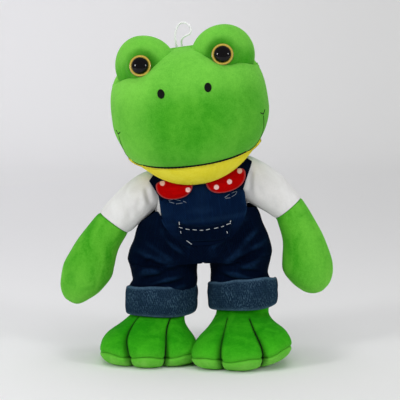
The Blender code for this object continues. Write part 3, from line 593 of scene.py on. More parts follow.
# head
head = dict(halfWidth=68.2, front=58.0, back=54.0, half=59.0, upper=3.0, lower=1.8, side=2.35, depth=2.25,
            seamForward=4.0, cloth=1.6, seamRoll=14.0, seamShare=0.84, mouth=41.0, mouthRise=0.28,
            mouthFront=44.8, crease=1.2, creaseReach=4.0, chinSag=4.2, sagReach=16.0,
            brow=39.3, browRise=19.5, browReach=24.0, jowl=3.0, jowlHeight=-31.0, jowlReach=8.0)


def headWidth(z):
    # W (1 - |z/H|^n)^(1/n), n = 3 above the middle and 1.8 below
    n = np.where(z > 0, head["upper"], head["lower"])
    return head["halfWidth"] * unit(1 - np.abs(z / head["half"]) ** n) ** (1 / n)


def headReach(z, reach):
    # R (1 - |z/H|^2.25)^(1/2.25)
    n = head["depth"]
    return reach * unit(1 - np.abs(z / head["half"]) ** n) ** (1 / n)


def seamHeight(x):
    # the face panel's top edge: 39.3 + 19.5 exp(-(|x|/24)^2.6), lower by up to 4 at its ends
    ends = unit((np.abs(x) - 44.0) / 16.0)
    return head["brow"] + head["browRise"] * np.exp(-(np.abs(x)
                                                      / head["browReach"]) ** 2.6) - 4.0 * ends * ends


def jowl(x, z):
    # how far the left jowl swells outwards: 3 exp(-((z + 31) / 8)^2) (x / 65)^3
    return -head["jowl"] * np.exp(-((z - head["jowlHeight"]) / head["jowlReach"]) ** 2) * unit(-x / 65.0) ** 3


def frontSkin(x, z):
    # depth of the face from the head's middle: the section's superellipse, rolled in under the seam with the
    # mounds by sqrt(1 - (1 - d / R)^2)
    p = head["side"]
    width = np.maximum(headWidth(z), 0.01)
    full = headReach(z, head["front"]) * unit(1 - np.abs(x / width) ** p) ** (1 / p)
    below = unit((seamHeight(x) - z) / head["seamRoll"])
    roll = np.sqrt(unit(1 - (1 - below) ** 2))
    return full * (head["seamShare"] + (1 - head["seamShare"]) * roll)


def mouthHeight(y):
    # the mouth seam climbs towards the back: -41 + 0.28 (y + 44.8)
    return -head["mouth"] + head["mouthRise"] * (y + head["mouthFront"])


def headColumns(count, rows, bottom, top, shareOf):
    # columns at angles a from side to side, where x = W(z) sin^(2/p) a; rows run from bottom(a) to top(a)
    p = 2 / head["side"]
    angle = np.linspace(-0.5 * math.pi, 0.5 * math.pi, count)
    across = signedPower(np.sin(angle), p)
    low = bottom(across)
    high = top(across)
    share = shareOf(np.linspace(0, 1, rows))[:, None]
    z = low + (high - low) * share
    x = headWidth(z) * across * np.where(np.abs(across) > 0.999, 0.9985, 1.0)
    return x, z


def mouthAt(across):
    # the mouth seam's height in each column, found by repeating z = mouth(y(x, z))
    z = np.full_like(across, -head["mouth"])
    for _ in range(12):
        z = mouthHeight(-frontSkin(headWidth(z) * across * 0.9985, z))
    return z


def seamAt(across):
    # the top seam's height in each column, found by halving the step towards seam(x(z))
    z = np.full_like(across, 50.0)
    for _ in range(25):
        z = 0.5 * z + 0.5 * np.minimum(seamHeight(headWidth(z) * across), 58.6)
    return z


def mouthCrease(z, x):
    # crease exp(-(d / reach)^2), d the height from the mouth seam
    away = z - mouthHeight(-frontSkin(x, z))
    return head["crease"] * np.exp(-(away / head["creaseReach"]) ** 2)


def paintedHeadLight(grid):
    # painted light and shade: lighter to the crown and the left cheek, and darkest at the middle of the face:
    # 0.16 + 0.32 s((z - 8) / 26) + 0.22 s((-x - 22) / 26) - 0.30 exp(-(x / 26)^2 - ((z + 4) / 20)^2)
    x, z = grid[..., 0], grid[..., 2]
    middle = np.exp(-(x / 26) ** 2 - ((z + 4) / 20) ** 2) * (grid[..., 1] < 0)
    lit = 0.16 + 0.32 * eased((z - 8) / 26) + 0.22 * eased((-x - 22) / 26) - 0.30 * middle
    return unit(lit)


def headSheet(name, grid, finish, values=None):
    # one panel of the head, from a grid of points round the head's middle
    return sheetPiece(name, fromHead(grid), finish, head["cloth"], fromHead([0, 0, 0]), wrap=False,
                      values=values)


def buildFace():
    # the front skin above the mouth: lumps of 0.35 sin(x / 9 + 1) sin(z / 8), its edges turned in
    x, z = headColumns(181, 90, mouthAt, seamAt, lambda t: 1 - (1 - t) ** 1.6)
    depth = frontSkin(x, z)
    depth = np.maximum(depth - mouthCrease(z, x) * unit(depth / 20), head["seamForward"] + 0.4)
    grid = np.stack([x + jowl(x, z), -depth, z], -1)
    lump = 0.35 * np.sin(x / 9.0 + 1.0) * np.sin(z / 8.0) * unit(depth / 25)
    grid[..., 1] -= lump
    tuck = grid[-1] + np.array([0.0, 3.5, -0.8])            # the seam allowance, turned in under the mounds
    deeper = tuck + np.array([0.0, 3.0, -2.5])
    bottom = grid[0] + np.array([0.0, 2.2, 0.6])            # turned in at the mouth
    grid = np.concatenate([bottom[None], grid, tuck[None], deeper[None]])
    # the pale share holds the face's painted light and shade
    return headSheet("faceCloth", grid, greenPlush, {"pale": paintedHeadLight(grid)})


def buildChin():
    # the front skin below the mouth, which sags by chinSag s(t) over 16 mm from the seam
    x, z = headColumns(141, 36, lambda a: np.full_like(a, -58.7), mouthAt, lambda t: t ** 0.8)
    depth = frontSkin(x, z)
    depth = np.maximum(depth - mouthCrease(z, x) * unit(depth / 20) - 0.3, head["seamForward"] + 0.4)
    under = eased((mouthHeight(-depth) - z) / head["sagReach"])
    sag = head["chinSag"] * under * unit((depth - head["seamForward"] - 0.4) / 22.0)
    grid = np.stack([x + jowl(x, z), -depth, z - sag], -1)
    top = grid[-1] + np.array([0.0, 2.2, -0.5])
    grid = np.concatenate([grid, top[None]])
    return headSheet("chinCloth", grid, yellowPlush)


def buildHeadBack():
    # rows run from the chin over the back to the crown, columns from side to side
    p = 2 / head["side"]
    angle = np.linspace(-0.5 * math.pi, 0.5 * math.pi, 141)
    rise = np.linspace(-0.5 * math.pi, 0.5 * math.pi, 91)[:, None]
    z = head["half"] * np.sin(rise) * np.ones_like(angle)
    x = headWidth(z) * signedPower(np.sin(angle), p)
    y = headReach(z, head["back"]) * np.abs(np.cos(angle)) ** p
    y = y * (1 + head["seamForward"] / head["back"]) - head["seamForward"] + 0.4
    middleSeam = 0.9 * np.exp(-(x / 1.6) ** 2) * unit(y / 20)      # the sewn seam down the back
    grid = np.stack([x + jowl(x, z), y - middleSeam, z], -1)
    left, right = grid[:, :1], grid[:, -1:]                 # the seam allowance, turned in behind the face
    inward, forward = np.array([0.90, 1.0, 0.93]), np.array([0.0, -8.0, 0.0])
    columns = [left * inward + forward, left, grid[:, 1:-1], right, right * inward + forward]
    grid = np.concatenate(columns, axis=1)
    # the pale share holds the painted light and shade of the back of the head
    return headSheet("headBack", grid, greenPlush, {"pale": paintedHeadLight(grid)})


def buildFilling(name, halves, centre, place, finish):
    # a plain ball: (a sin u cos v, b cos u cos v, c sin v)
    around = fullTurn(48)
    rise = np.linspace(-0.49 * math.pi, 0.49 * math.pi, 25)[:, None]
    grid = np.stack([halves[0] * np.sin(around) * np.cos(rise) + centre[0],
                     halves[1] * np.cos(around) * np.cos(rise) + centre[1],
                     halves[2] * np.sin(rise) * np.ones_like(around) + centre[2]], -1)
    return gridPiece(name, place(grid), finish)


face = buildFace()
chin = buildChin()
headBack = buildHeadBack()
fillings = dict(head=((50.0, 34.0, 44.0), (0.0, 2.0, -1.0)), neck=((11.5, 11.5, 11.5), stance["neck"]))
headFilling = buildFilling("headFilling", *fillings["head"], fromHead, whitePlush)
for piece, node, slot in ((face, "face_panel", "green_plush"), (chin, "chin_panel", "yellow_plush"),
                          (headBack, "back_of_head", "green_plush"),
                          (headFilling, "head_stuffing", "head_fibre")):
    settle(piece, "head", node)
neckFilling = buildFilling("neckFilling", *fillings["neck"], fromTrunk, whitePlush)
settle(neckFilling, "neck", "neck_stuffing")
print("head made")


# eyes
eye = dict(
    spread=35.1, height=48.4, forward=34.0, tiltDeg=14.0, pupil=7.2, dome=4.2,
    # radius and height along the eye's axis
    ring=((2.4, -0.5), (8.9, -0.5), (9.3, -0.1), (9.35, 0.5), (9.15, 0.95), (8.7, 1.2), (8.0, 1.3),
          (7.3, 1.25), (7.0, 1.0), (2.4, 1.0)),
    shank=((7.1, 1.15), (2.1, 1.15), (2.1, -12.0), (1.8, -12.8)))
mound = dict(
    spread=dict(Left=34.6, Right=36.2), outer=dict(Left=24.2, Right=26.0), inner=28.8, forward=13.0,
    height=47.0, depth=20.5, half=26.4, turnBack=0.30, recess=12.0, recessEdge=0.8,
    # the last two give the painted shade in the hollow beside the eye, and its width
    rollHeight=1.1, rollOut=3.0, rollWidth=3.2, dish=1.6, dishWidth=17.0, hollowShade=0.62, hollowShadeWidth=5.0)

eyeTilt = math.radians(90.0 - eye["tiltDeg"])
eyeOut = np.array([0.0, -math.sin(eyeTilt), math.cos(eyeTilt)])
eyeUp = np.array([0.0, math.cos(eyeTilt), math.sin(eyeTilt)])


def eyePoints(sign, radius, height, angle):
    # centre + r (cos a, sin a) in the disc's plane + h along its axis
    centre = np.array([sign * eye["spread"], -eye["forward"], eye["height"]])
    sideways = np.array([1.0, 0.0, 0.0])
    ring = np.cos(angle)[None, :, None] * sideways + np.sin(angle)[None, :, None] * eyeUp
    return centre + radius[:, None, None] * ring + height[:, None, None] * eyeOut


def buildMound(side, sign):
    # an ellipsoid, wider towards the crown, whose outer side is turned back; round the eye its skin is held
    # below the disc and stands in a low roll beside it
    around = fullTurn(120)
    rise = np.linspace(-0.495 * math.pi, 0.495 * math.pi, 90)[:, None]
    across = sign * np.sin(around) * np.cos(rise)
    half = np.where(across > 0, mound["outer"][side], mound["inner"])
    x = sign * (mound["spread"][side] + across * half)
    turned = mound["turnBack"] * unit(across) * half
    y = turned - mound["forward"] - mound["depth"] * np.cos(around) * np.cos(rise)
    z = mound["height"] + mound["half"] * np.sin(rise) * np.ones_like(around)
    grid = np.stack([x, y, z], -1)
    centre = np.array([sign * eye["spread"], -eye["forward"], eye["height"]])
    offset = grid - centre
    height = offset @ eyeOut
    away = np.linalg.norm(offset - height[..., None] * eyeOut, axis=-1)
    front = height > -14
    held = 1 / (1 + np.exp((away - mound["recess"]) / mound["recessEdge"]))
    besideEye = away - mound["recess"]
    roll = mound["rollHeight"] * np.exp(-((besideEye - mound["rollOut"]) / mound["rollWidth"]) ** 2)
    dish = mound["dish"] * np.exp(-(away / mound["dishWidth"]) ** 2)
    target = (height - dish) * (1 - held) - held + roll
    grid = grid + np.where(front, target - height, 0.0)[..., None] * eyeOut
    # painted shade in the hollow beside the eye, deepest towards the nose; it goes to crease
    towardNose = 0.65 - 0.35 * sign * offset[..., 0] / np.maximum(away, 1)
    shaded = np.exp(-((besideEye + 1.0) / mound["hollowShadeWidth"]) ** 2)
    hollowShade = mound["hollowShade"] * shaded * towardNose * front
    # painted light on the mound's top, away from the eye; it goes to pale
    lit = 0.47 * eased((offset[..., 2] + 8) / 18) * eased((away - 9) / 9)
    return gridPiece("eyeMound" + side, fromHead(grid), moundPlush, values={"crease": hollowShade, "pale": lit})


def buildEye(side, sign):
    # turned round the disc's axis: a flat gold ring, and a dome (R sin u, 1.3 + h cos u) with its shank
    angle = fullTurn(72)
    ring = np.array(eye["ring"])
    grid = fromHead(eyePoints(sign, ring[:, 0], ring[:, 1], angle))
    grid = np.concatenate([grid, grid[:1]])
    outer = np.append(unit((ring[:, 0] - 8.6) / 0.6), 0.0)
    inner = np.append(ring[:, 0] < 7.5, True) * 0.6
    rim = np.repeat(np.maximum(outer, inner)[:, None], len(angle), axis=1)
    iris = gridPiece("goldRing" + side, grid, goldRing, caps=False, values={"rim": rim}, shut=True)
    steps = np.linspace(0, 0.5 * math.pi, 14)
    dome = np.stack([eye["pupil"] * np.sin(steps), 1.3 + eye["dome"] * np.cos(steps)], -1)
    profile = np.vstack([dome[1:], eye["shank"]])
    pupil = gridPiece("pupil" + side, fromHead(eyePoints(sign, profile[:, 0], profile[:, 1], angle)),
                      glossBlack)
    return iris, pupil


for side, sign in sides.items():
    moundPiece = buildMound(side, sign)
    iris, pupil = buildEye(side, sign)
    low = side.lower()
    for piece, node, slot in ((moundPiece, "_eye_mound", "green_plush"), (iris, "_iris", "gold_plastic"),
                              (pupil, "_pupil", "black_plastic")):
        settle(piece, "head", low + node)
    washer = bpy.data.objects[low + "_eye_washer"]
    washer.data.materials.clear()
    washer.data.materials.append(washerPlastic)
print("eyes made")


# nostrils and mouth
nose = dict(spread=19.8, height=23.6, halfWidth=3.0, halfHeight=3.9, rise=1.2, stitches=7)
mouth = dict(left=-45.0, right=43.5, thread=0.85, cheek=0.30, cheekTop=(62.2, -8.0), stitch=3.2,
             tick=((62.4, -6.6), (60.2, -4.8), (64.0, -3.0)))


def onFace(x, z, lift):
    # a place on the face seen from the front, raised along the skin's normal (dF/dx, 1, dF/dz)
    x, z = np.asarray(x, float), np.asarray(z, float)
    step = 0.2
    depth = frontSkin(x, z)
    slopeX = (frontSkin(x + step, z) - frontSkin(x - step, z)) / (2 * step)
    slopeZ = (frontSkin(x, z + step) - frontSkin(x, z - step)) / (2 * step)
    normal = np.stack([-slopeX, -np.ones_like(x), -slopeZ], -1)
    normal /= np.linalg.norm(normal, axis=-1, keepdims=True)
    return np.stack([x + jowl(x, z), -depth, z], -1) + normal * np.asarray(lift)[..., None]


def buildNostril(side, sign):
    # a satin-stitched oval: a low dome with upright ridges, h = r (1 - q^2)^0.5 (1 + 0.12 |sin|)
    around = fullTurn(48)
    reach = np.linspace(0.02, 1.0, 16)[:, None]
    u = reach * np.cos(around)
    v = reach * np.sin(around)
    ridges = 1 + 0.12 * np.abs(np.sin(u * math.pi * nose["stitches"]))
    height = nose["rise"] * np.sqrt(unit(1 - reach ** 2)) * ridges
    slant = 0.10 * sign
    x = sign * nose["spread"] + u * nose["halfWidth"] + v * slant
    z = nose["height"] + v * nose["halfHeight"]
    top = onFace(x, z, height + 0.15)
    under = onFace(x[::-1], z[::-1], np.full_like(x, -1.0))
    return gridPiece("nostril" + side, fromHead(np.concatenate([top, under])), blackThread)


def threadTube(name, points, radius, stitch, finish):
    # beads of one stitch each: r (0.72 + 0.28 |sin(pi s / stitch)|^0.5) along the path's length s
    steps = np.linalg.norm(np.diff(points, axis=0), axis=1)
    length = np.concatenate([[0], np.cumsum(steps)])
    bead = 0.72 + 0.28 * np.abs(np.sin(math.pi * length / stitch)) ** 0.5
    return gridPiece(name, fromHead(tubeGrid(points, radius * bead, 8)), finish)


def buildMouth():
    # a beaded thread in the mouth seam; from each end a quarter ellipse climbs the cheek to two short ticks
    x = np.linspace(mouth["left"], mouth["right"], 240)
    z = np.full_like(x, -head["mouth"])
    for _ in range(15):
        z = mouthHeight(-frontSkin(x, z))
    line = onFace(x, z, np.full_like(x, -0.45))
    black = [threadTube("mouthSeam", line, mouth["thread"], mouth["stitch"], blackThread)]
    cheeks = []
    for sign in (-1.0, 1.0):
        share = np.linspace(0, 1, 60)
        startX, _, startZ = line[-1 if sign > 0 else 0]
        topX, topZ = mouth["cheekTop"]
        x = abs(startX) + (topX - abs(startX)) * np.sin(0.5 * math.pi * share)
        z = startZ + (topZ - startZ) * (1 - np.cos(0.5 * math.pi * share))
        cheeks.append(threadTube("cheek", onFace(sign * x, z, np.full_like(x, 0.05)), mouth["cheek"],
                                 2.6, greenThread))
        for end, radius in ((1, 0.42), (2, 0.36)):
            tick = smoothRows((mouth["tick"][0], mouth["tick"][end]), 12)
            black.append(threadTube("tick", onFace(sign * tick[:, 0], tick[:, 1], np.full(12, 0.1)),
                                    radius, 2.0, blackThread))
    seams = joinPieces(cheeks, "cheekSeams")
    return joinPieces(black, "mouthStitch"), seams


for side, sign in sides.items():
    nostril = buildNostril(side, sign)
    settle(nostril, "head", side.lower() + "_nostril")
mouthStitch, cheekSeams = buildMouth()
settle(mouthStitch, "head", "mouth_piping")
settle(cheekSeams, "head")
print("mouth stitched")


# torso
torso = dict(
    halfWidth=41.0, halfDepth=27.5, middle=4.0, neckTop=31.0,
    # height above the waist, share of the full width
    section=((-9.0, 0.62), (-6.5, 0.80), (0.0, 0.94), (9.0, 1.0), (20.0, 1.0), (30.0, 0.97),
             (37.0, 0.86), (41.0, 0.60)))


def torsoSection(z):
    # the section's share of the full width, by height above the waist
    table = np.array(torso["section"])
    return np.interp(z, table[:, 0], table[:, 1])


def buildTorso():
    # ellipses by height; above the chest the top is a saddle that leaves room for the head
    around = fullTurn(96)
    z = np.concatenate([np.linspace(-9, 30, 28), np.linspace(31.5, 41, 8)])[:, None]
    share = torsoSection(z)
    x = torso["middle"] + torso["halfWidth"] * share * np.cos(around)
    y = torso["halfDepth"] * share * np.sin(around) * np.where(z > 30, 0.8 - 0.035 * (z - 30), 1.0)
    height = z * np.ones_like(around)
    room = torso["neckTop"] - 1.5 + 9.5 * unit(np.abs(x - torso["middle"]) / 38.0) ** 1.6
    height = np.minimum(height, room)
    return gridPiece("shirtBody", fromTrunk(np.stack([x, y, height], -1)), whitePlush)


shirtBody = buildTorso()
settle(shirtBody, "trunk", "torso")


# sleeves and mitts: sections between an outer and an inner line, seen from the front
arms = dict(
    roundness=2.15,
    # outer x, outer z, inner x, inner z, half depth, y
    sleeve=dict(
        Left=((-33.0, 158.0, -27.0, 138.0, 9.0, 0.0), (-39.0, 162.5, -31.5, 131.5, 14.0, -0.5),
              (-47.2, 160.7, -36.9, 128.0, 16.0, -1.5), (-59.5, 152.6, -44.8, 121.2, 16.0, -2.5),
              (-73.6, 139.2, -52.7, 113.9, 14.4, -3.5), (-80.5, 131.5, -57.2, 110.2, 13.6, -4.0),
              (-83.8, 126.6, -60.0, 108.8, 12.8, -4.2)),
        Right=((35.0, 169.0, 30.0, 147.0, 9.0, 0.0), (41.5, 175.5, 36.0, 141.0, 14.0, -0.5),
               (48.9, 175.2, 43.0, 136.8, 16.0, -1.5), (63.0, 167.6, 52.6, 131.4, 16.2, -2.5),
               (77.0, 156.9, 63.2, 125.4, 14.8, -3.5), (87.0, 145.5, 68.2, 122.4, 13.8, -4.0),
               (91.6, 139.8, 70.4, 121.5, 12.8, -4.2))),
    mitt=dict(
        Left=((-84.0, 125.5, -60.3, 108.2, 12.8, -4.2), (-87.6, 123.0, -61.4, 106.2, 13.6, -4.3),
              (-99.3, 109.2, -67.4, 94.8, 14.6, -5.0), (-110.5, 91.7, -71.6, 79.0, 16.0, -6.0),
              (-116.9, 79.0, -75.2, 68.2, 16.6, -6.5), (-119.6, 63.4, -85.6, 56.0, 14.8, -7.0),
              (-116.6, 52.6, -95.5, 48.8, 10.5, -7.0), (-111.0, 47.4, -101.0, 46.0, 5.5, -7.0),
              (-106.5, 45.4, -104.6, 45.2, 1.2, -7.0)),
        Right=((91.8, 138.8, 70.4, 120.9, 12.8, -4.2), (94.6, 136.0, 71.6, 118.4, 13.6, -4.3),
               (105.2, 118.7, 75.6, 102.8, 14.6, -5.0), (116.4, 94.8, 75.9, 85.6, 16.0, -6.0),
               (120.4, 79.0, 77.2, 74.6, 16.6, -6.5), (118.8, 66.2, 84.6, 64.2, 14.8, -7.0),
               (113.0, 58.6, 93.5, 57.6, 10.5, -7.0), (107.6, 55.8, 98.5, 55.6, 5.5, -7.0),
               (103.6, 54.9, 102.0, 54.9, 1.2, -7.0))),
    # folds: from x, from z, to x, to z, width, depth
    wrinkles=dict(
        Left=((-44.0, 152.0, -40.0, 133.0, 2.2, 1.0), (-52.0, 128.0, -47.0, 141.0, 2.4, 0.8),
              (-57.5, 121.0, -56.0, 133.0, 2.2, 0.6)),
        Right=((47.0, 167.0, 46.0, 144.0, 2.2, 1.0), (57.0, 140.0, 55.0, 153.0, 2.4, 0.8),
               (66.0, 133.0, 67.0, 144.0, 2.2, 0.6))))


def limbGrid(table, rows, columns):
    # each section is a superellipse: middle + half width cos^(2/p) a towards the outer line, half depth
    # sin^(2/p) a along Y; the table is smoothed along the limb
    line = smoothRows(table, rows)
    outer, inner = line[:, 0:2], line[:, 2:4]
    depth, forward = line[:, 4], line[:, 5]
    angle = fullTurn(columns)
    c = signedPower(np.cos(angle), 2 / arms["roundness"])
    s = signedPower(np.sin(angle), 2 / arms["roundness"])
    middle = 0.5 * (outer + inner)
    half = 0.5 * (outer - inner)
    x = middle[:, 0:1] + half[:, 0:1] * c
    z = middle[:, 1:2] + half[:, 1:2] * c
    y = forward[:, None] + depth[:, None] * s + stance["waist"][1]
    return np.stack([x, y, z], -1)


def foldHeight(grid, folds, frontOnly=True):
    # each fold is a valley along a segment, faded at its ends:
    # -depth (exp(-(d / w)^2) - 0.45 exp(-((d - 1.9 w) / w)^2))
    x, y, z = grid[..., 0], grid[..., 1], grid[..., 2]
    total = np.zeros_like(x)
    middle = y.mean(axis=1, keepdims=True)
    facing = 1 / (1 + np.exp((y - middle) / 3.0)) if frontOnly else 1 / (1 + np.exp((middle - y) / 3.0))
    for x0, z0, x1, z1, width, depth in folds:
        length = math.hypot(x1 - x0, z1 - z0)
        dx, dz = (x1 - x0) / length, (z1 - z0) / length
        along = (x - x0) * dx + (z - z0) * dz
        across = np.abs((x - x0) * dz - (z - z0) * dx + 0.06 * along * (1 - along / length))
        ends = unit(along / (0.3 * length)) * unit((length - along) / (0.3 * length))
        valley = np.exp(-(across / width) ** 2) - 0.45 * np.exp(-((across - 1.9 * width) / width) ** 2)
        total -= depth * valley * eased(ends)
    return total * facing


def lumps(grid, size, amount, phase):
    # gentle unevenness of the stuffing: a product of sines
    x, y, z = grid[..., 0] / size, grid[..., 1] / size, grid[..., 2] / size
    fine = 0.6 * np.sin(1.9 * x + 0.7 * y) * np.sin(2.1 * z - phase)
    return amount * (np.sin(x + 1.3 * phase) * np.sin(z * 1.1 + phase) + fine)


def raiseGrid(grid, height):
    # P + n h
    return grid + gridNormals(grid) * height[..., None]


def limbMiddle(section):
    # the point midway between a section's outer and inner line
    outerX, outerZ, innerX, innerZ, _, forward = section
    return np.array([0.5 * (outerX + innerX), forward + stance["waist"][1], 0.5 * (outerZ + innerZ)])


def buildSleeve(side, sign):
    # the limb's skin with its wrinkles, on uneven stuffing
    grid = limbGrid(arms["sleeve"][side], 70, 72)
    grid = raiseGrid(grid, foldHeight(grid, arms["wrinkles"][side]) + lumps(grid, 9.0, 0.25, sign))
    return gridPiece("sleeve" + side, grid * mm, whitePlush)


def buildMitt(side, sign):
    # its colour is lighter towards the tip by 0.48 s(1.6 t - 0.5), t running down the mitt; the right
    # one is lighter too on its outer side, by 0.20 s(0.5 + cos a), and has painted shade on its inner one
    # near the sleeve
    grid = limbGrid(arms["mitt"][side], 110, 84)
    grid = raiseGrid(grid, lumps(grid, 11.0, 0.35, sign))
    right = float(side == "Right")
    across = np.cos(fullTurn(84))[None, :]
    down = np.linspace(0, 1, len(grid))[:, None]
    pale = 0.48 * eased(1.6 * down - 0.5) + 0.20 * right * eased(0.5 + across)
    # painted shade on the right mitt's inner side, near the sleeve
    crease = 0.6 * right * eased(-0.2 - across) * eased(1.3 - 1.6 * down)
    return gridPiece("mitt" + side, grid * mm, limbPlush, values={"pale": pale, "crease": crease})


for side, sign in sides.items():
    low = side.lower()
    sleeve = buildSleeve(side, sign)
    mitt = buildMitt(side, sign)
    for piece, node, slot in ((sleeve, "_sleeve", "white_plush"), (mitt, "_mitt", "green_plush")):
        settle(piece, None, low + node)
    seamMiddle = limbMiddle(arms["mitt"][side][0])
    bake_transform(sleeve)
    along = (limbMiddle(arms["mitt"][side][3]) - seamMiddle) * np.array([1, 0, 1])
    along /= np.linalg.norm(along)
    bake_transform(mitt)
print("arms made")


# overalls
overalls = dict(
    # wall z, wall x, outer x, outer z, half depth, y middle, D share
    Left=((124.0, 2.2, -48.9, 119.0, 30.2, 0.0, 1.0), (118.0, 2.6, -51.6, 112.0, 32.0, 0.0, 1.0),
          (108.0, 3.4, -54.6, 101.0, 34.5, -0.5, 1.0), (97.0, 4.8, -58.4, 92.0, 34.0, -1.0, 1.0),
          (89.5, 5.8, -60.4, 86.0, 32.8, -1.5, 1.0), (85.8, 6.0, -60.1, 82.8, 32.0, -1.5, 0.92),
          (83.4, 1.8, -59.6, 80.6, 31.4, -1.5, 0.10), (75.0, 1.0, -56.8, 72.5, 29.8, -1.0, 0.0),
          (67.0, 1.4, -55.8, 66.0, 28.5, -0.5, 0.0), (61.0, 0.6, -58.6, 61.0, 28.0, 0.0, 0.0),
          (54.0, -0.6, -59.2, 54.0, 27.5, 0.0, 0.0), (42.0, -2.4, -58.2, 42.0, 27.0, 0.0, 0.0)),
    Right=((124.0, 2.8, 52.6, 131.5, 30.2, 0.0, 1.0), (118.0, 3.2, 55.8, 125.0, 32.0, 0.0, 1.0),
           (108.0, 4.0, 60.6, 113.5, 34.5, -0.5, 1.0), (97.0, 5.2, 64.6, 101.0, 34.0, -1.0, 1.0),
           (89.5, 6.0, 66.4, 93.0, 32.8, -1.5, 1.0), (85.8, 6.4, 66.3, 89.4, 32.0, -1.5, 0.92),
           (83.4, 11.0, 66.1, 87.0, 31.4, -1.5, 0.10), (76.5, 12.2, 64.6, 78.0, 29.8, -1.0, 0.0),
           (72.0, 12.6, 64.0, 72.0, 28.5, -0.5, 0.0), (67.0, 12.8, 65.6, 67.0, 28.0, 0.0, 0.0),
           (60.0, 13.2, 68.0, 60.0, 27.5, 0.0, 0.0), (48.0, 13.8, 69.0, 48.0, 27.0, 0.0, 0.0)),
    folds=dict(
        Left=((-47.0, 112.0, -8.0, 86.0, 3.2, 2.6), (-30.0, 112.0, -2.0, 92.0, 2.6, 1.8),
              (-57.0, 90.0, -18.0, 76.0, 3.0, 2.4), (-50.0, 68.0, -10.0, 80.0, 2.6, 2.0),
              (-40.0, 62.0, -4.0, 70.0, 2.2, 1.5), (-54.0, 78.0, -34.0, 88.0, 2.4, 1.5),
              (-22.0, 100.0, -38.0, 116.0, 2.4, 1.0)),
        Right=((52.0, 124.0, 16.0, 86.0, 3.4, 2.8), (34.0, 112.0, 12.0, 92.0, 2.6, 1.8),
               (62.0, 98.0, 24.0, 80.0, 3.0, 2.4), (60.0, 74.0, 22.0, 84.0, 2.6, 2.0),
               (50.0, 68.0, 18.0, 74.0, 2.2, 1.4), (60.0, 110.0, 44.0, 100.0, 2.6, 1.4),
               (28.0, 104.0, 44.0, 122.0, 2.4, 1.0))),
    backFolds=dict(
        Left=((-44.0, 108.0, -12.0, 88.0, 3.4, 2.2), (-52.0, 84.0, -16.0, 74.0, 3.0, 2.0),
              (-46.0, 66.0, -12.0, 72.0, 2.6, 1.6)),
        Right=((52.0, 116.0, 20.0, 92.0, 3.4, 2.2), (60.0, 90.0, 24.0, 78.0, 3.0, 2.0),
               (56.0, 72.0, 22.0, 78.0, 2.6, 1.6))),
    hitch=dict(Left=(14.0, 13.5), Right=(6.5, 12.0)),      # the waist's edge climbs this far over this width
    cloth=1.3, rows=130, columns=160, wallDeg=125.0, bibHalf=34.0, bibMiddle=6.0, bibTuck=3.5)


def trouserGrid(side, sign):
    # above the crotch a section is one half of the waist's ellipse with a flat wall in the middle, below it
    # the section is the leg's own ellipse; the D share mixes the two
    rows = overalls["rows"]
    line = smoothRows(overalls[side], rows)
    wallZ, wallX, outerX, outerZ, depth, forward, share = (line[:, k:k + 1] for k in range(7))
    share = eased(share)
    # 0 faces outwards, +-pi faces inwards
    angle = np.linspace(-math.pi, math.pi, overalls["columns"], endpoint=False)
    wall = math.radians(overalls["wallDeg"])
    onWall = np.abs(angle) > wall
    half = outerX - wallX
    turn = np.clip(angle / wall, -1, 1) * 0.5 * math.pi
    wallShare = unit((np.abs(angle) - wall) / math.radians(180.0 - overalls["wallDeg"]))
    dX = wallX + np.where(onWall, 0.0, 1.0) * half * np.cos(turn) ** 0.92 + sign * 0.4
    dY = depth * np.where(onWall, np.sign(angle) * (1 - wallShare), signedPower(np.sin(turn), 0.95))
    eX = 0.5 * (outerX + wallX) + 0.5 * half * signedPower(np.cos(angle), 0.93)
    eY = depth * signedPower(np.sin(angle), 0.93)
    x = dX * share + eX * (1 - share)
    y = dY * share + eY * (1 - share)
    reach = (x - wallX) / half
    z = wallZ + (outerZ - wallZ) * reach
    climb, over = overalls["hitch"][side]
    inward = np.abs(outerX - x) / over
    inward = unit(inward) - unit((inward - 1.15) / 0.45)
    high = unit(1 - np.arange(rows) / (0.16 * rows))[:, None]
    z = z + climb * inward * high * (1 - 0.5 * reach)
    # the bib covers this much of the edge
    underBib = unit((overalls["bibHalf"] - np.abs(x - overalls["bibMiddle"])) / 4.0) * high * (y < 0)
    return np.stack([x, y + overalls["bibTuck"] * underBib + forward + stance["waist"][1], z], -1)


hips = dict(Left=(-26.2, 3.4, 88.7), Right=(38.2, 3.4, 97.8))
trousers = {}
for side, sign in sides.items():
    low = side.lower()
    grid = trouserGrid(side, sign)
    inside = unit((grid[..., 0] - np.array(overalls[side])[:, 1].mean()) * sign / 8.0)
    folds = foldHeight(grid, overalls["folds"][side]) + foldHeight(grid, overalls["backFolds"][side], False)
    row = np.arange(len(grid))
    fade = unit((row - 4) / 10.0) * unit((126 - row) / 30.0)
    height = (folds + lumps(grid, 7.0, 0.5, 2.0 * sign)) * fade[:, None] * (0.25 + 0.75 * inside)
    puffed = raiseGrid(grid, height)
    wear = unit(height / 1.4) ** 1.5
    hip = np.array(hips[side])
    trouser = sheetPiece("trouser" + side, puffed * mm, navyDenim, overalls["cloth"], hip * mm, caps=False,
                         uvSize=(0.19, 0.085), values={"wear": wear})
    settle(trouser, None, low + "_trouser_leg")
    trousers[side] = trouser
    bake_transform(trouser)


riseBand = dict(low=86.5, high=118.0, middle=3.9, shift=1.6, half=2.6, beside=7.5, height=0.9,
                sunk=0.5, thickness=1.2)


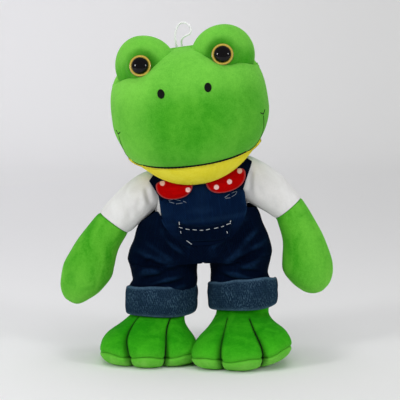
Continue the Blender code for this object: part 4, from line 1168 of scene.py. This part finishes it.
def buildRiseSeam():
    # a flat band over the seam between the two halves, from waist to crotch: 5 mm wide, raised 0.9 (1 - s^4)
    z = np.linspace(riseBand["low"], riseBand["high"], 50)[:, None]
    s = np.linspace(-1, 1, 15)
    x = riseBand["middle"] + riseBand["shift"] * unit((100.0 - z) / 12.0) + riseBand["half"] * s
    z = z * np.ones_like(s)
    side = np.where(s < 0, -riseBand["beside"], riseBand["beside"])
    base = restOn(riseBand["middle"] + side + 0 * z, z, trouserFront, 0.0)[..., 1]
    level = 0.5 * (base[:, :1] + base[:, -1:])
    y = level - riseBand["height"] * (1 - s ** 4) + riseBand["sunk"]
    behind = np.stack([x, y + riseBand["thickness"], z], -1)[:, ::-1]
    grid = np.concatenate([np.stack([x, y, z], -1), behind], axis=1)
    return gridPiece("riseSeam", grid * mm, navyDenim, uvSize=(0.01, 0.035))


seat = dict(
    # height from the waist, share of the half width, share of the half depth
    rows=((-34.0, 0.20, 0.20), (-31.0, 0.50, 0.40), (-26.0, 0.72, 0.62), (-18.0, 0.86, 0.84),
          (-8.0, 0.92, 0.92), (1.0, 0.94, 0.94)),
    middle=2.5, halfWidth=50.0, halfDepth=33.0)


def buildSeat():
    # ellipses by height below the waist
    line = smoothRows(seat["rows"], 36)
    around = fullTurn(84)
    x = seat["middle"] + seat["halfWidth"] * line[:, 1:2] * np.cos(around)
    y = seat["halfDepth"] * line[:, 2:3] * np.sin(around)
    z = line[:, 0:1] * np.ones_like(around)
    return gridPiece("overallsSeat", fromTrunk(np.stack([x, y, z], -1)), navyDenim, uvSize=(0.26, 0.06))


overallsSeat = buildSeat()
settle(overallsSeat, "trunk", "overalls_seat")

bib = dict(middle=6.0, half=37.4, low=-17.0, waist=6.0, top=32.0, lift=1.9, over=1.4, cloth=1.1, narrow=0.46)


def chestPoint(across, z, lift):
    # a place on the front of the body: x across, y = -(D s + lift) cos a, where
    # sin a = (x - middle) / (W s + lift + 2)
    share = torsoSection(np.minimum(z, 30.0))
    width = torso["halfWidth"] * share + lift + 2.0
    depth = torso["halfDepth"] * share + lift
    sine = np.clip((across - torso["middle"]) / width, -0.995, 0.995)
    return np.stack([across, -depth * np.sqrt(1 - sine ** 2), z], -1)


def pieceCloud(*pieces):
    # the points of built pieces in millimetres, of their front halves only
    clouds = []
    for piece in pieces:
        mesh = piece.data
        cloud = np.empty(len(mesh.vertices) * 3)
        mesh.vertices.foreach_get("co", cloud)
        cloud = cloud.reshape(-1, 3) / mm
        clouds.append(cloud[cloud[:, 1] < stance["waist"][1] - 12.0])
    return np.vstack(clouds)


def restOn(x, z, cloud, lift, reach=4.5):
    # the cloth's front at (x, z), bridged over narrow grooves and moved lift towards the viewer:
    # sum(w y) / sum(w) with w = exp(-(d / reach)^2 - y / 1 mm)
    x, z = np.asarray(x, float), np.asarray(z, float)
    near = cloud[(cloud[:, 0] > x.min() - 12) & (cloud[:, 0] < x.max() + 12)
                 & (cloud[:, 2] > z.min() - 12) & (cloud[:, 2] < z.max() + 12)]
    gap = (x.reshape(-1, 1) - near[:, 0]) ** 2 + (z.reshape(-1, 1) - near[:, 2]) ** 2
    power = -gap / reach ** 2 - near[:, 1] / 1.0
    weight = np.exp(power - power.max(axis=1, keepdims=True))
    y = (weight * near[:, 1]).sum(axis=1) / weight.sum(axis=1)
    return np.stack([x, y.reshape(x.shape) - lift, z], -1)


def buildBib():
    # a sheet from the chest down over the trousers' front, where it narrows to a tongue; each point lies on
    # the chest or on the trousers, mixed across the waist
    up = np.linspace(0, 1, 90)[:, None]
    across = np.linspace(-1, 1, 110)
    z = bib["low"] + (bib["top"] - bib["low"]) * up * np.ones_like(across)
    narrow = unit((bib["waist"] - z) / (bib["waist"] - bib["low"]))
    half = bib["half"] * (1 - bib["narrow"] * narrow ** 1.5)
    x = bib["middle"] + half * across
    z = z - 3.0 * narrow * (1 - across ** 2)
    chest = fromTrunk(chestPoint(x, z, bib["lift"])) / mm
    front = restOn(chest[..., 0], chest[..., 2], trouserFront, bib["over"])
    share = eased((z - bib["waist"] + 5.0) / 16.0)
    # fine creases across the waist, on a slow ripple over the whole sheet
    wrinkle = 0.5 * np.sin(z / 1.5 + 0.35 * np.sin(x / 8.0) + 0.8) * np.exp(-((z - 1.0) / 9.0) ** 2)
    ripple = 0.45 * np.sin(x / 6.5 + 0.8) * np.sin(z / 9.0) + 0.25 * np.sin(z / 4.0 + x / 17.0) + wrinkle
    edge = 0.6 * np.exp(-((1 - np.abs(across)) / 0.03) ** 2)
    grid = chest * share[..., None] + front * (1 - share[..., None])
    grid[..., 1] -= (ripple + edge) * np.clip(np.minimum(1 - np.abs(across), up) / 0.06, 0.3, 1)
    wear = unit(edge * (1 - narrow) + ripple * 0.5)
    return sheetPiece("bibCloth", grid * mm, bibDenim, bib["cloth"], fromTrunk([torso["middle"], 0, 5]),
                      wrap=False, uvSize=(0.075, 0.055),
                      values={"wear": wear, "join": unit(1.5 * narrow - 0.1)})


trouserFront = pieceCloud(trousers["Left"], trousers["Right"])
riseSeam = buildRiseSeam()
settle(riseSeam, "trunk")
bibPiece = buildBib()
settle(bibPiece, "trunk", "bib")

straps = dict(
    Left=((-24.5, -25.0, 24.0), (-27.8, -22.5, 32.0), (-32.5, -13.0, 40.5), (-34.5, 0.0, 42.8),
          (-33.5, 12.0, 40.0), (-29.0, 21.5, 31.0), (-22.0, 27.5, 17.0), (-15.0, 31.0, 2.0),
          (-12.0, 32.5, -4.0)),
    Right=((37.0, -25.0, 24.0), (42.2, -22.8, 34.5), (47.5, -13.6, 44.0), (48.5, 0.0, 46.0),
           (45.0, 12.0, 40.5), (39.5, 21.5, 31.0), (31.0, 27.5, 17.0), (23.0, 31.0, 2.0), (20.0, 32.5, -4.0)),
    section=((-1.0, 0.0), (-0.97, 0.8), (-0.8, 1.0), (0.8, 1.0), (0.97, 0.8), (1.0, 0.0), (0.97, -0.6),
             (0.0, -0.7), (-0.97, -0.6)),
    halfWidth=5.2, thickness=1.5)


def buildStrap(side, sign):
    # a flat band carried along a path: middle + w s + n t, where n points away from the chest and w = t x n
    path = smoothRows(straps[side], 80)
    along = np.gradient(path, axis=0)
    along /= np.linalg.norm(along, axis=1, keepdims=True)
    out = path - np.array([torso["middle"] + sign * 26.0, 0.0, 14.0])
    out -= (out * along).sum(axis=1, keepdims=True) * along
    out /= np.linalg.norm(out, axis=1, keepdims=True)
    wide = np.cross(along, out)
    corner = np.array(straps["section"])
    sideways = corner[None, :, 0:1] * straps["halfWidth"]
    outwards = (corner[None, :, 1:2] * 0.5 + 0.6) * straps["thickness"]
    ring = path[:, None] + wide[:, None] * sideways + out[:, None] * outwards
    return gridPiece("strap" + side, fromTrunk(ring), navyDenim, uvSize=(0.02, 0.12))


for side, sign in sides.items():
    strap = buildStrap(side, sign)
    settle(strap, "trunk", side.lower() + "_strap")
print("overalls made")

# pocket and stitches
pocket = dict(left=-16.4, right=31.2, middle=7.3, top=121.0, low=105.0, sag=3.4, taper=0.10,
              cloth=1.0, lift=0.9)


def buildPocket():
    # a sheet on the overalls' front: its top edge sags 3.4 sin(pi s), its lower corners are rounded
    s = np.linspace(0, 1, 80)
    t = np.linspace(0, 1, 30)[:, None]
    x = pocket["left"] + (pocket["right"] - pocket["left"]) * s * np.ones_like(t)
    x = x + (pocket["middle"] - x) * pocket["taper"] * (1 - t)
    top = pocket["top"] - pocket["sag"] * np.sin(math.pi * s) + 2.4 * s
    low = pocket["low"] + 3.0 * (np.abs(2 * s - 1) ** 3) + 1.5 * s
    z = low + (top - low) * t
    edge = np.minimum(np.minimum(s, 1 - s) * 80, np.minimum(t, 1 - t) * 30)
    lift = pocket["lift"] + 0.5 * unit(edge / 2.0) + 0.25 * np.exp(-((edge - 2.5) / 1.2) ** 2)
    grid = restOn(x, z, trouserFront, lift + bib["over"] + 0.4)
    wear = 0.7 * np.exp(-(edge / 1.5) ** 2)
    return sheetPiece("pocketCloth", grid * mm, navyDenim, pocket["cloth"], np.array([7.0, 13.0, 112.0]) * mm,
                      wrap=False, uvSize=(0.045, 0.016), values={"wear": wear})


pocketPiece = buildPocket()
settle(pocketPiece, "trunk", "pocket")

stitches = dict(
    pocketThread=0.32, bibThread=0.24, lift=0.55, dip=0.35,
    pocket=((-14.4, 117.4, -11.6, 116.7), (-8.8, 116.0, -5.5, 115.5), (-2.7, 115.5, 0.7, 115.2),
            (3.4, 115.0, 6.2, 115.0), (8.7, 115.3, 11.7, 116.0), (15.4, 116.4, 19.1, 117.2),
            (21.6, 117.7, 24.0, 118.4), (25.9, 119.4, 29.9, 120.8), (-14.5, 121.7, -14.2, 118.6),
            (-13.2, 114.2, -12.7, 111.8), (30.0, 122.9, 29.2, 120.8), (26.5, 114.1, 27.3, 112.1),
            (-8.2, 106.3, -3.6, 102.9)),
    bib=((-23.6, 139.3, -18.7, 140.5), (-18.7, 140.5, -11.0, 139.0), (-23.0, 138.0, -17.2, 136.5),
         (-17.2, 136.5, -9.5, 137.7), (-11.0, 139.0, -8.2, 138.0), (23.6, 141.1, 28.9, 144.8),
         (28.9, 144.8, 35.1, 147.0), (24.3, 140.8, 29.7, 141.7), (29.7, 141.7, 34.3, 144.2),
         (34.3, 144.2, 35.4, 146.7)))


def buildStitches(name, segments, cloud, thread, finish):
    # each stitch is a thread that dips into the cloth at both ends: lift (1 - (2 s - 1)^4) - dip
    made = []
    for x0, z0, x1, z1 in segments:
        s = np.linspace(0, 1, 9)
        rise = stitches["lift"] * (1 - (2 * s - 1) ** 4) - stitches["dip"]
        path = restOn(x0 + (x1 - x0) * s, z0 + (z1 - z0) * s, cloud, rise, 1.2)
        path[:, 1] = path[:, 1].mean() + 0.35 * (path[:, 1] - path[:, 1].mean())
        made.append(gridPiece("stitch", tubeGrid(path, thread, 6) * mm, finish))
    return joinPieces(made, name)


pocketStitch = buildStitches("pocketStitch", stitches["pocket"], pieceCloud(pocketPiece, bibPiece),
                             stitches["pocketThread"], whiteThread)
bibStitch = buildStitches("bibStitch", stitches["bib"], pieceCloud(bibPiece), stitches["bibThread"],
                          paleThread)
for piece in (pocketStitch, bibStitch):
    settle(piece, "trunk")
print("pocket and stitches made")


# bow tie, under the chin
bow = dict(
    lobes=dict(Left=(-16.2, 16.0), Right=(28.6, 17.6)),    # middle and half width from the trunk's middle
    middle=5.0, line=35.1, drop=12.6, rise=1.2, front=-30.6, bend=0.0019, lean=0.9, puff=3.3, lift=2.0,
    knot=(5.2, 38.2, 4.6, 4.6, 3.4))                       # x, z, half width, half height, half depth


def buildLobe(side):
    # a pillow in polar steps rho (cos a, sin a), half thickness T (1 - rho^2.6)^0.6, creased to the knot
    middle, half = bow["lobes"][side]
    angle = fullTurn(96)
    rho = np.concatenate([np.linspace(0.02, 0.9, 18), np.linspace(0.92, 1.0, 8)])[:, None]
    c = signedPower(np.cos(angle), 0.88)
    s = signedPower(np.sin(angle), 0.88)
    x = middle + half * rho * c
    top = bow["rise"] + 5.0 * unit(np.abs(x - bow["middle"]) / 38.0) ** 1.5
    slant = 0.10 * (x - middle) * (side == "Right")
    z = bow["line"] + slant + np.where(s > 0, top, bow["drop"]) * rho * s
    toKnot = unit(1 - np.abs(x - bow["middle"]) / 26.0)
    pleat = 0.8 * toKnot * np.cos((z - 32.0) * 1.25)
    thick = bow["puff"] * unit(1 - rho ** 2.6) ** 0.6
    base = bow["front"] + bow["bend"] * (x - bow["middle"]) ** 2 + bow["lean"] * np.clip(z - 33.0, 0, 12)
    front = np.stack([x, base - thick * 1.1 - pleat * (thick > 0.5), z], -1)
    behind = np.stack([x, base + thick * 0.35, z], -1)
    grid = np.concatenate([front, behind[::-1]])
    hem = 0.5 * unit((rho - 0.90) / 0.05) * np.ones_like(angle)
    return gridPiece("bow" + side, fromTrunk(grid), redCotton,
                     values={"hem": np.concatenate([hem, hem[::-1]])})


for side in sides:
    lobe = buildLobe(side)
    settle(lobe, "trunk", "bow_" + side.lower() + "_lobe")


def buildKnot():
    # a squared ball (a S(u) C(v), b C(u) C(v), c S(v)): S and C are sine and cosine to the power 0.7
    around = fullTurn(48)
    rise = np.linspace(-0.49 * math.pi, 0.49 * math.pi, 25)[:, None]
    x, z, halfWidth, halfHeight, halfDepth = bow["knot"]
    base = chestPoint(np.array([x]), np.array([z]), bow["lift"])[0, 1]
    level = np.cos(rise) ** 0.7
    grid = np.stack([x + halfWidth * signedPower(np.sin(around), 0.7) * level,
                     base - 1.2 - halfDepth * signedPower(np.cos(around), 0.7) * level,
                     z + halfHeight * signedPower(np.sin(rise), 0.7) * np.ones_like(around)], -1)
    return gridPiece("bowKnot", fromTrunk(grid), redCotton)


bowKnot = buildKnot()
settle(bowKnot, "trunk", "bow_knot")
print("bow made")


# turn-ups, inner legs, feet and soles
cuffs = dict(
    frontRise=4.2, tall=23.6,
    Left=dict(x=-31.0, y=13.4, low=37.2, height=23.2, tilt=0.012, half=28.1, depth=26.6, follow=0.004,
              phase=0.4),
    Right=dict(x=41.6, y=13.4, low=43.0, height=23.2, tilt=0.065, half=27.1, depth=26.6, follow=-0.012,
               phase=2.1),
    profile=((0.0, 20.5), (0.5, 22.6), (1.5, 23.6), (2.7, 23.3), (3.5, 22.0), (3.9, 18.0),
             (4.0, 12.0), (3.8, 6.0), (3.5, 2.0), (3.0, 0.6), (2.0, 0.0), (0.9, 0.3), (0.3, 1.6),
             (0.1, 6.0), (0.0, 14.0)))


def buildCuff(side):
    # a closed profile (offset, height) carried round the leg's ellipse, waved by 0.45 cos 3a + 0.35 cos 5a
    own = cuffs[side]
    profile = smoothRows(cuffs["profile"], 60)
    profile = np.vstack([profile, profile[:1]])
    angle = fullTurn(200)
    wave = 0.45 * np.cos(3 * angle + own["phase"]) + 0.35 * np.cos(5 * angle - own["phase"])
    high = profile[:, 1:2] / cuffs["tall"]
    offset = profile[:, 0:1] + wave * high * (profile[:, 0:1] > 0.4) * 0.9
    x = own["x"] + (own["half"] + offset) * np.cos(angle) + own["follow"] * profile[:, 1:2]
    y = own["y"] + (own["depth"] + offset) * np.sin(angle)
    lip = 0.8 * np.cos(2 * angle + own["phase"]) + 0.5 * np.cos(7 * angle)
    z = own["low"] + own["height"] * high + 0.7 * lip * high + 0.5 * np.cos(3 * angle) * (1 - high)
    z = z + own["tilt"] * (x - own["x"]) - cuffs["frontRise"] * high * (y - own["y"]) / own["depth"]
    crumple = 0.35 * np.sin(angle * 17 + 6 * high) * np.sin(high * 7.0) * (profile[:, 0:1] > 1.5)
    x = x + crumple * np.cos(angle)
    y = y + crumple * np.sin(angle)
    edges = np.exp(-((high - 0.97) / 0.05) ** 2) + np.exp(-((high - 0.02) / 0.05) ** 2)
    wear = unit(edges) * np.ones_like(angle)
    return gridPiece("turnUp" + side, np.stack([x, y, z], -1) * mm, cuffDenim, caps=False,
                     uvSize=(0.19, 0.055), values={"wear": wear}, shut=True)


feet = dict(
    # grooves: degrees from the front at the sole and at the ankle
    Left=dict(x=-41.2, y=-0.4, turnDeg=0.0, ankleX=-30.9, ankleTop=40.0, side=-1.0,
              grooves=((-17.5, -44.0), (17.5, 25.0)), lift=1.0, toeUp=0.0, inner=0.05, outer=0.0),
    Right=dict(x=39.8, y=-11.6, turnDeg=5.0, ankleX=41.2, ankleTop=46.0, side=1.0,
               grooves=((-26.0, -33.4), (15.0, 11.5)), lift=8.0, toeUp=1.0, inner=0.13, outer=-0.04),
    reach=52.5, ankle=23.2,
    # degrees from the front, reach share
    outline=((-180.0, 0.70), (-150.0, 0.68), (-120.0, 0.68), (-90.0, 0.755), (-68.0, 0.82),
             (-45.0, 1.0), (-22.0, 1.05), (0.0, 1.07), (22.0, 1.05), (45.0, 1.0), (68.0, 0.82),
             (90.0, 0.755), (120.0, 0.68), (150.0, 0.68), (180.0, 0.70)),
    # height, reach share, ankle share, groove share
    levels=((0.0, 0.80, 0.0, 0.75), (1.2, 0.875, 0.0, 0.9), (3.5, 0.94, 0.0, 1.0), (7.0, 0.985, 0.0, 1.0),
            (10.5, 0.995, 0.0, 1.0), (14.0, 0.99, 0.0, 1.0), (18.0, 0.960, 0.02, 1.0),
            (22.0, 0.905, 0.07, 0.95), (26.0, 0.83, 0.18, 0.85), (30.0, 0.75, 0.36, 0.7),
            (34.0, 0.67, 0.62, 0.5), (37.0, 0.60, 0.88, 0.25), (40.0, 0.55, 1.0, 0.0),
            (46.0, 0.55, 1.0, 0.0)),
    groove=5.4, grooveWidthDeg=2.8, bulge=2.6, dent=3.2, dentWidthDeg=9.0, seam=10.6, pinch=0.9,
    pinchReach=1.3, columns=360)


def footGrid(side, heights, columns):
    # in plan r(a) = reach outline(a) share(z) + bulge (1 - (a / 95)^4) - groove exp(-((a - g) / w)^2), mixed
    # with the ankle's circle by the ankle share; the grooves shift as they climb
    own = feet[side]
    degrees = np.linspace(-180, 180, columns, endpoint=False)
    dense = smoothRows(feet["outline"], 140)
    outline = np.interp(degrees, dense[:, 0], dense[:, 1])
    levels = smoothRows(feet["levels"], 200)
    order = np.maximum.accumulate(levels[:, 0])
    reach, ankle, grooveShare = (np.interp(heights, order, levels[:, k])[:, None] for k in (1, 2, 3))
    ankle = unit(ankle)
    climb = unit((heights - 8.0) / 28.0)[:, None] ** 1.6
    (lowA, highA), (lowB, highB) = own["grooves"]
    outer = lowA + (highA - lowA) * climb
    inner = lowB + (highB - lowB) * climb
    width = feet["grooveWidthDeg"] * (1 + 0.7 * climb)
    groove = sum(np.exp(-((degrees - middle) / width) ** 2) for middle in (outer, inner))
    wide = sum(np.exp(-((degrees - middle) / feet["dentWidthDeg"]) ** 2) for middle in (outer, inner))
    toes = unit(1 - (np.abs(degrees) / 95.0) ** 4)
    outline = outline * (1 + own["inner"] * np.exp(-((own["side"] * degrees + 50.0) / 26.0) ** 2)
                         + own["outer"] * np.exp(-((own["side"] * degrees - 65.0) / 30.0) ** 2))
    radius = feet["reach"] * outline * reach + (feet["bulge"] - feet["dent"] * wide) * toes * grooveShare
    radius = radius - feet["groove"] * groove * grooveShare
    angle = np.radians(degrees)
    turn = math.radians(own["turnDeg"])
    x = own["x"] + radius * np.sin(angle + turn)
    y = own["y"] - radius * np.cos(angle + turn)
    roundX = own["ankleX"] + feet["ankle"] * np.sin(angle)
    roundY = stance["waist"][1] - feet["ankle"] * np.cos(angle)
    x = x + (roundX - x) * ankle
    y = y + (roundY - y) * ankle
    crease = unit(groove) ** 2 * grooveShare * toes
    upward = heights[:, None] * np.ones_like(degrees)
    beside = unit(own["side"] * (x - own["x"]) / 42.0)
    upward = upward + own["lift"] * beside ** 1.5 * (1 - ankle) * unit(heights[:, None] / 3.0 + own["toeUp"])
    return np.stack([x, y, upward], -1), crease


def buildFootShell(name, side, heights, finish, waveReach, paleShare):
    # the upper and the sole meet in a seam, drawn in by pinch exp(-(d / pinchReach)^2), d being the height
    # from it, and waved by (1.3 cos(9.5 a) - 0.4) exp(-(d / waveReach)^2); beside it the colour is mixed
    # towards the pale one, and painted shade darkens the toe grooves and the seam line
    upper = heights[-1] > feet["seam"]
    grid, crease = footGrid(side, heights, feet["columns"])
    away = np.abs(heights - feet["seam"])[:, None]
    shift = gridNormals(grid) * -(feet["pinch"] * np.exp(-(away / feet["pinchReach"]) ** 2))[..., None]
    shift[..., 2] = 0
    grid = grid + shift
    angle = np.linspace(-180, 180, feet["columns"], endpoint=False) * math.pi / 180
    seamWave = (1.3 * np.cos(angle * 9.5) - 0.4) * np.exp(-(away / waveReach) ** 2)
    grid[..., 2] += seamWave if upper else seamWave * unit(heights[:, None] / 4.0)
    if upper:
        grid = raiseGrid(grid, lumps(grid, 9.0, 0.28, feet[side]["side"]) * unit(away / 6))
    # painted shade in the toe grooves and along the seam
    paintedGrooveShade = unit(0.8 * crease + 0.24 * np.exp(-(away / 0.8) ** 2))
    pale = paleShare * np.exp(-away / waveReach) * np.ones(feet["columns"])
    return gridPiece(name + side, grid * mm, finish, values={"crease": paintedGrooveShade, "pale": pale})


def buildFoot(side):
    # the upper, from the seam to the ankle
    heights = np.concatenate([np.linspace(feet["seam"], 34.0, 70),
                              np.linspace(34.4, feet[side]["ankleTop"], 14)])
    return buildFootShell("foot", side, heights, footPlush, 6.0, 0.62)


def buildSole(side):
    # the sole, from the floor to just under the seam
    heights = np.concatenate([np.linspace(0.0, 1.4, 8), np.linspace(1.8, feet["seam"] - 0.3, 26)])
    return buildFootShell("sole", side, heights, solePlush, 4.0, 0.75)


innerLegs = dict(Left=(-29.0, 13.4, 62.0), Right=(40.0, 13.4, 70.0), halves=(22.5, 22.0, 24.0))


def buildGrooveThreads(side):
    # the two sewn lines between the toes follow the bottoms of the grooves, lifted so that they show
    own = feet[side]
    heights = np.linspace(3.0, 36.0, 90)
    grid, _ = footGrid(side, heights, 720)
    climb = unit((heights - 8.0) / 28.0) ** 1.6
    made = []
    for low, high in own["grooves"]:
        column = np.rint((low + (high - low) * climb + 180.0) * 2).astype(int) % 720
        path = grid[np.arange(len(heights)), column]
        away = path - np.array([own["ankleX"], stance["waist"][1], 0.0])
        away[:, 2] = 0
        made.append(path + away / np.linalg.norm(away, axis=1, keepdims=True) * 0.3)
    return made


for side in sides:
    # the right-hand line of each foot is black
    for index, path in enumerate(buildGrooveThreads(side)):
        thread = gridPiece("toeLine%s%d" % (side, index + 1), tubeGrid(path, (0.32, 0.46)[index], 8) * mm,
                           (greenThread, blackThread)[index])
        settle(thread, side.lower() + "_leg")

for side in sides:
    low = side.lower()
    cuff = buildCuff(side)
    foot = buildFoot(side)
    sole = buildSole(side)
    innerLeg = buildFilling("innerLeg" + side, innerLegs["halves"], innerLegs[side], lambda p: p * mm,
                            limbPlush)
    for piece, node, slot in ((cuff, "_turn_up", "turned_denim"), (foot, "_foot", "green_plush"),
                              (sole, "_sole", "sole_plush"), (innerLeg, "_inner_leg", "green_plush")):
        settle(piece, low + "_leg", low + node)
print("feet made")


# floor, backdrop and light
# the backdrop's painted light runs from the left colour to the right one
studio = dict(left=(0.930, 0.925, 0.945), right=(0.770, 0.770, 0.765), glow=0.20, world=0.33)


def buildBackdrop():
    # a floor that curves up into a wall: a quarter circle of radius r joins them
    radius, depth, height, half = 0.8, 1.6, 3.4, 4.0
    floor = np.array([(-3.0, 0.0), (0.0, 0.0), (depth, 0.0)])
    turn = np.linspace(0, 0.5 * math.pi, 24)[1:]
    bend = np.stack([depth + radius * np.sin(turn), radius * (1 - np.cos(turn))], -1)
    wall = np.array([(depth + radius, height)])
    line = np.vstack([floor, bend, wall])
    x = np.linspace(-half, half, 5)
    grid = np.stack([np.broadcast_to(x, (len(line), 5)), np.broadcast_to(line[:, 0:1], (len(line), 5)),
                     np.broadcast_to(line[:, 1:2], (len(line), 5))], -1)
    made, tree, shader, place = newMaterial("paleBackdrop", 0.8, 0.1)
    parts = addNode(tree, "ShaderNodeSeparateXYZ", Vector=place)
    across = plus(tree, parts.outputs[0], times(tree, noiseNode(tree, place, 1.3, 1.0), 0.05))
    # painted light on the backdrop: lighter on the left, darker on the right
    shade = mixColour(tree, rampShare(tree, across, -0.6, 0.6), studio["left"], studio["right"])
    paint(tree, shader, shade)
    # the far wall is lit a little more, for the camera alone
    seen = tree.nodes.new("ShaderNodeLightPath").outputs["Is Camera Ray"]
    far = rampShare(tree, parts.outputs[1], 0.5, 2.2)
    tree.links.new(shade, shader.inputs["Emission Color"])
    tree.links.new(times(tree, times(tree, seen, far), studio["glow"]), shader.inputs["Emission Strength"])
    piece = gridPiece("backdrop", grid, made, wrap=False)
    faceOut(piece, (0.0, 5.0, -5.0))
    return piece


buildBackdrop()


def areaLight(name, place, aim, size, watts, glints=True):
    # a soft box that looks from its place to its aim: tilted atan2(flat, -dz), turned atan2(dy, dx) - pi / 2
    data = bpy.data.lights.new(name, "AREA")
    data.shape = "RECTANGLE"
    data.size, data.size_y = size
    data.energy = watts
    lamp = addObject(name, data)
    lamp.location = place
    direction = np.array(aim) - np.array(place)
    flat = math.hypot(direction[0], direction[1])
    turn = math.atan2(direction[1], direction[0]) - 0.5 * math.pi
    lamp.rotation_euler = (math.atan2(flat, -direction[2]), 0.0, turn)
    lamp.visible_glossy = glints


lights = dict(
    softLeft=dict(place=(-1.45, -1.10, 0.80), aim=(0.0, 0.0, 0.15), size=(0.4, 0.36), watts=12.0),
    softRight=dict(place=(1.45, -1.10, 0.80), aim=(0.0, 0.0, 0.15), size=(0.4, 0.36), watts=9.0),
    softFront=dict(place=(0.0, -1.75, 1.35), aim=(0.0, 0.0, 0.15), size=(1.2, 0.9), watts=5.0, glints=False),
    softTop=dict(place=(0.0, 0.15, 2.0), aim=(0.0, 0.1, 0.0), size=(2.0, 2.0), watts=18.0, glints=False))

for name, settings in lights.items():
    areaLight(name, **settings)

world = bpy.data.worlds.new("paleStudio")
world.use_nodes = True
world.node_tree.nodes["Background"].inputs["Color"].default_value = (0.93, 0.93, 0.95, 1)
world.node_tree.nodes["Background"].inputs["Strength"].default_value = studio["world"]
bpy.context.scene.world = world
bpy.context.scene.view_settings.view_transform = "Standard"
print("stage made")
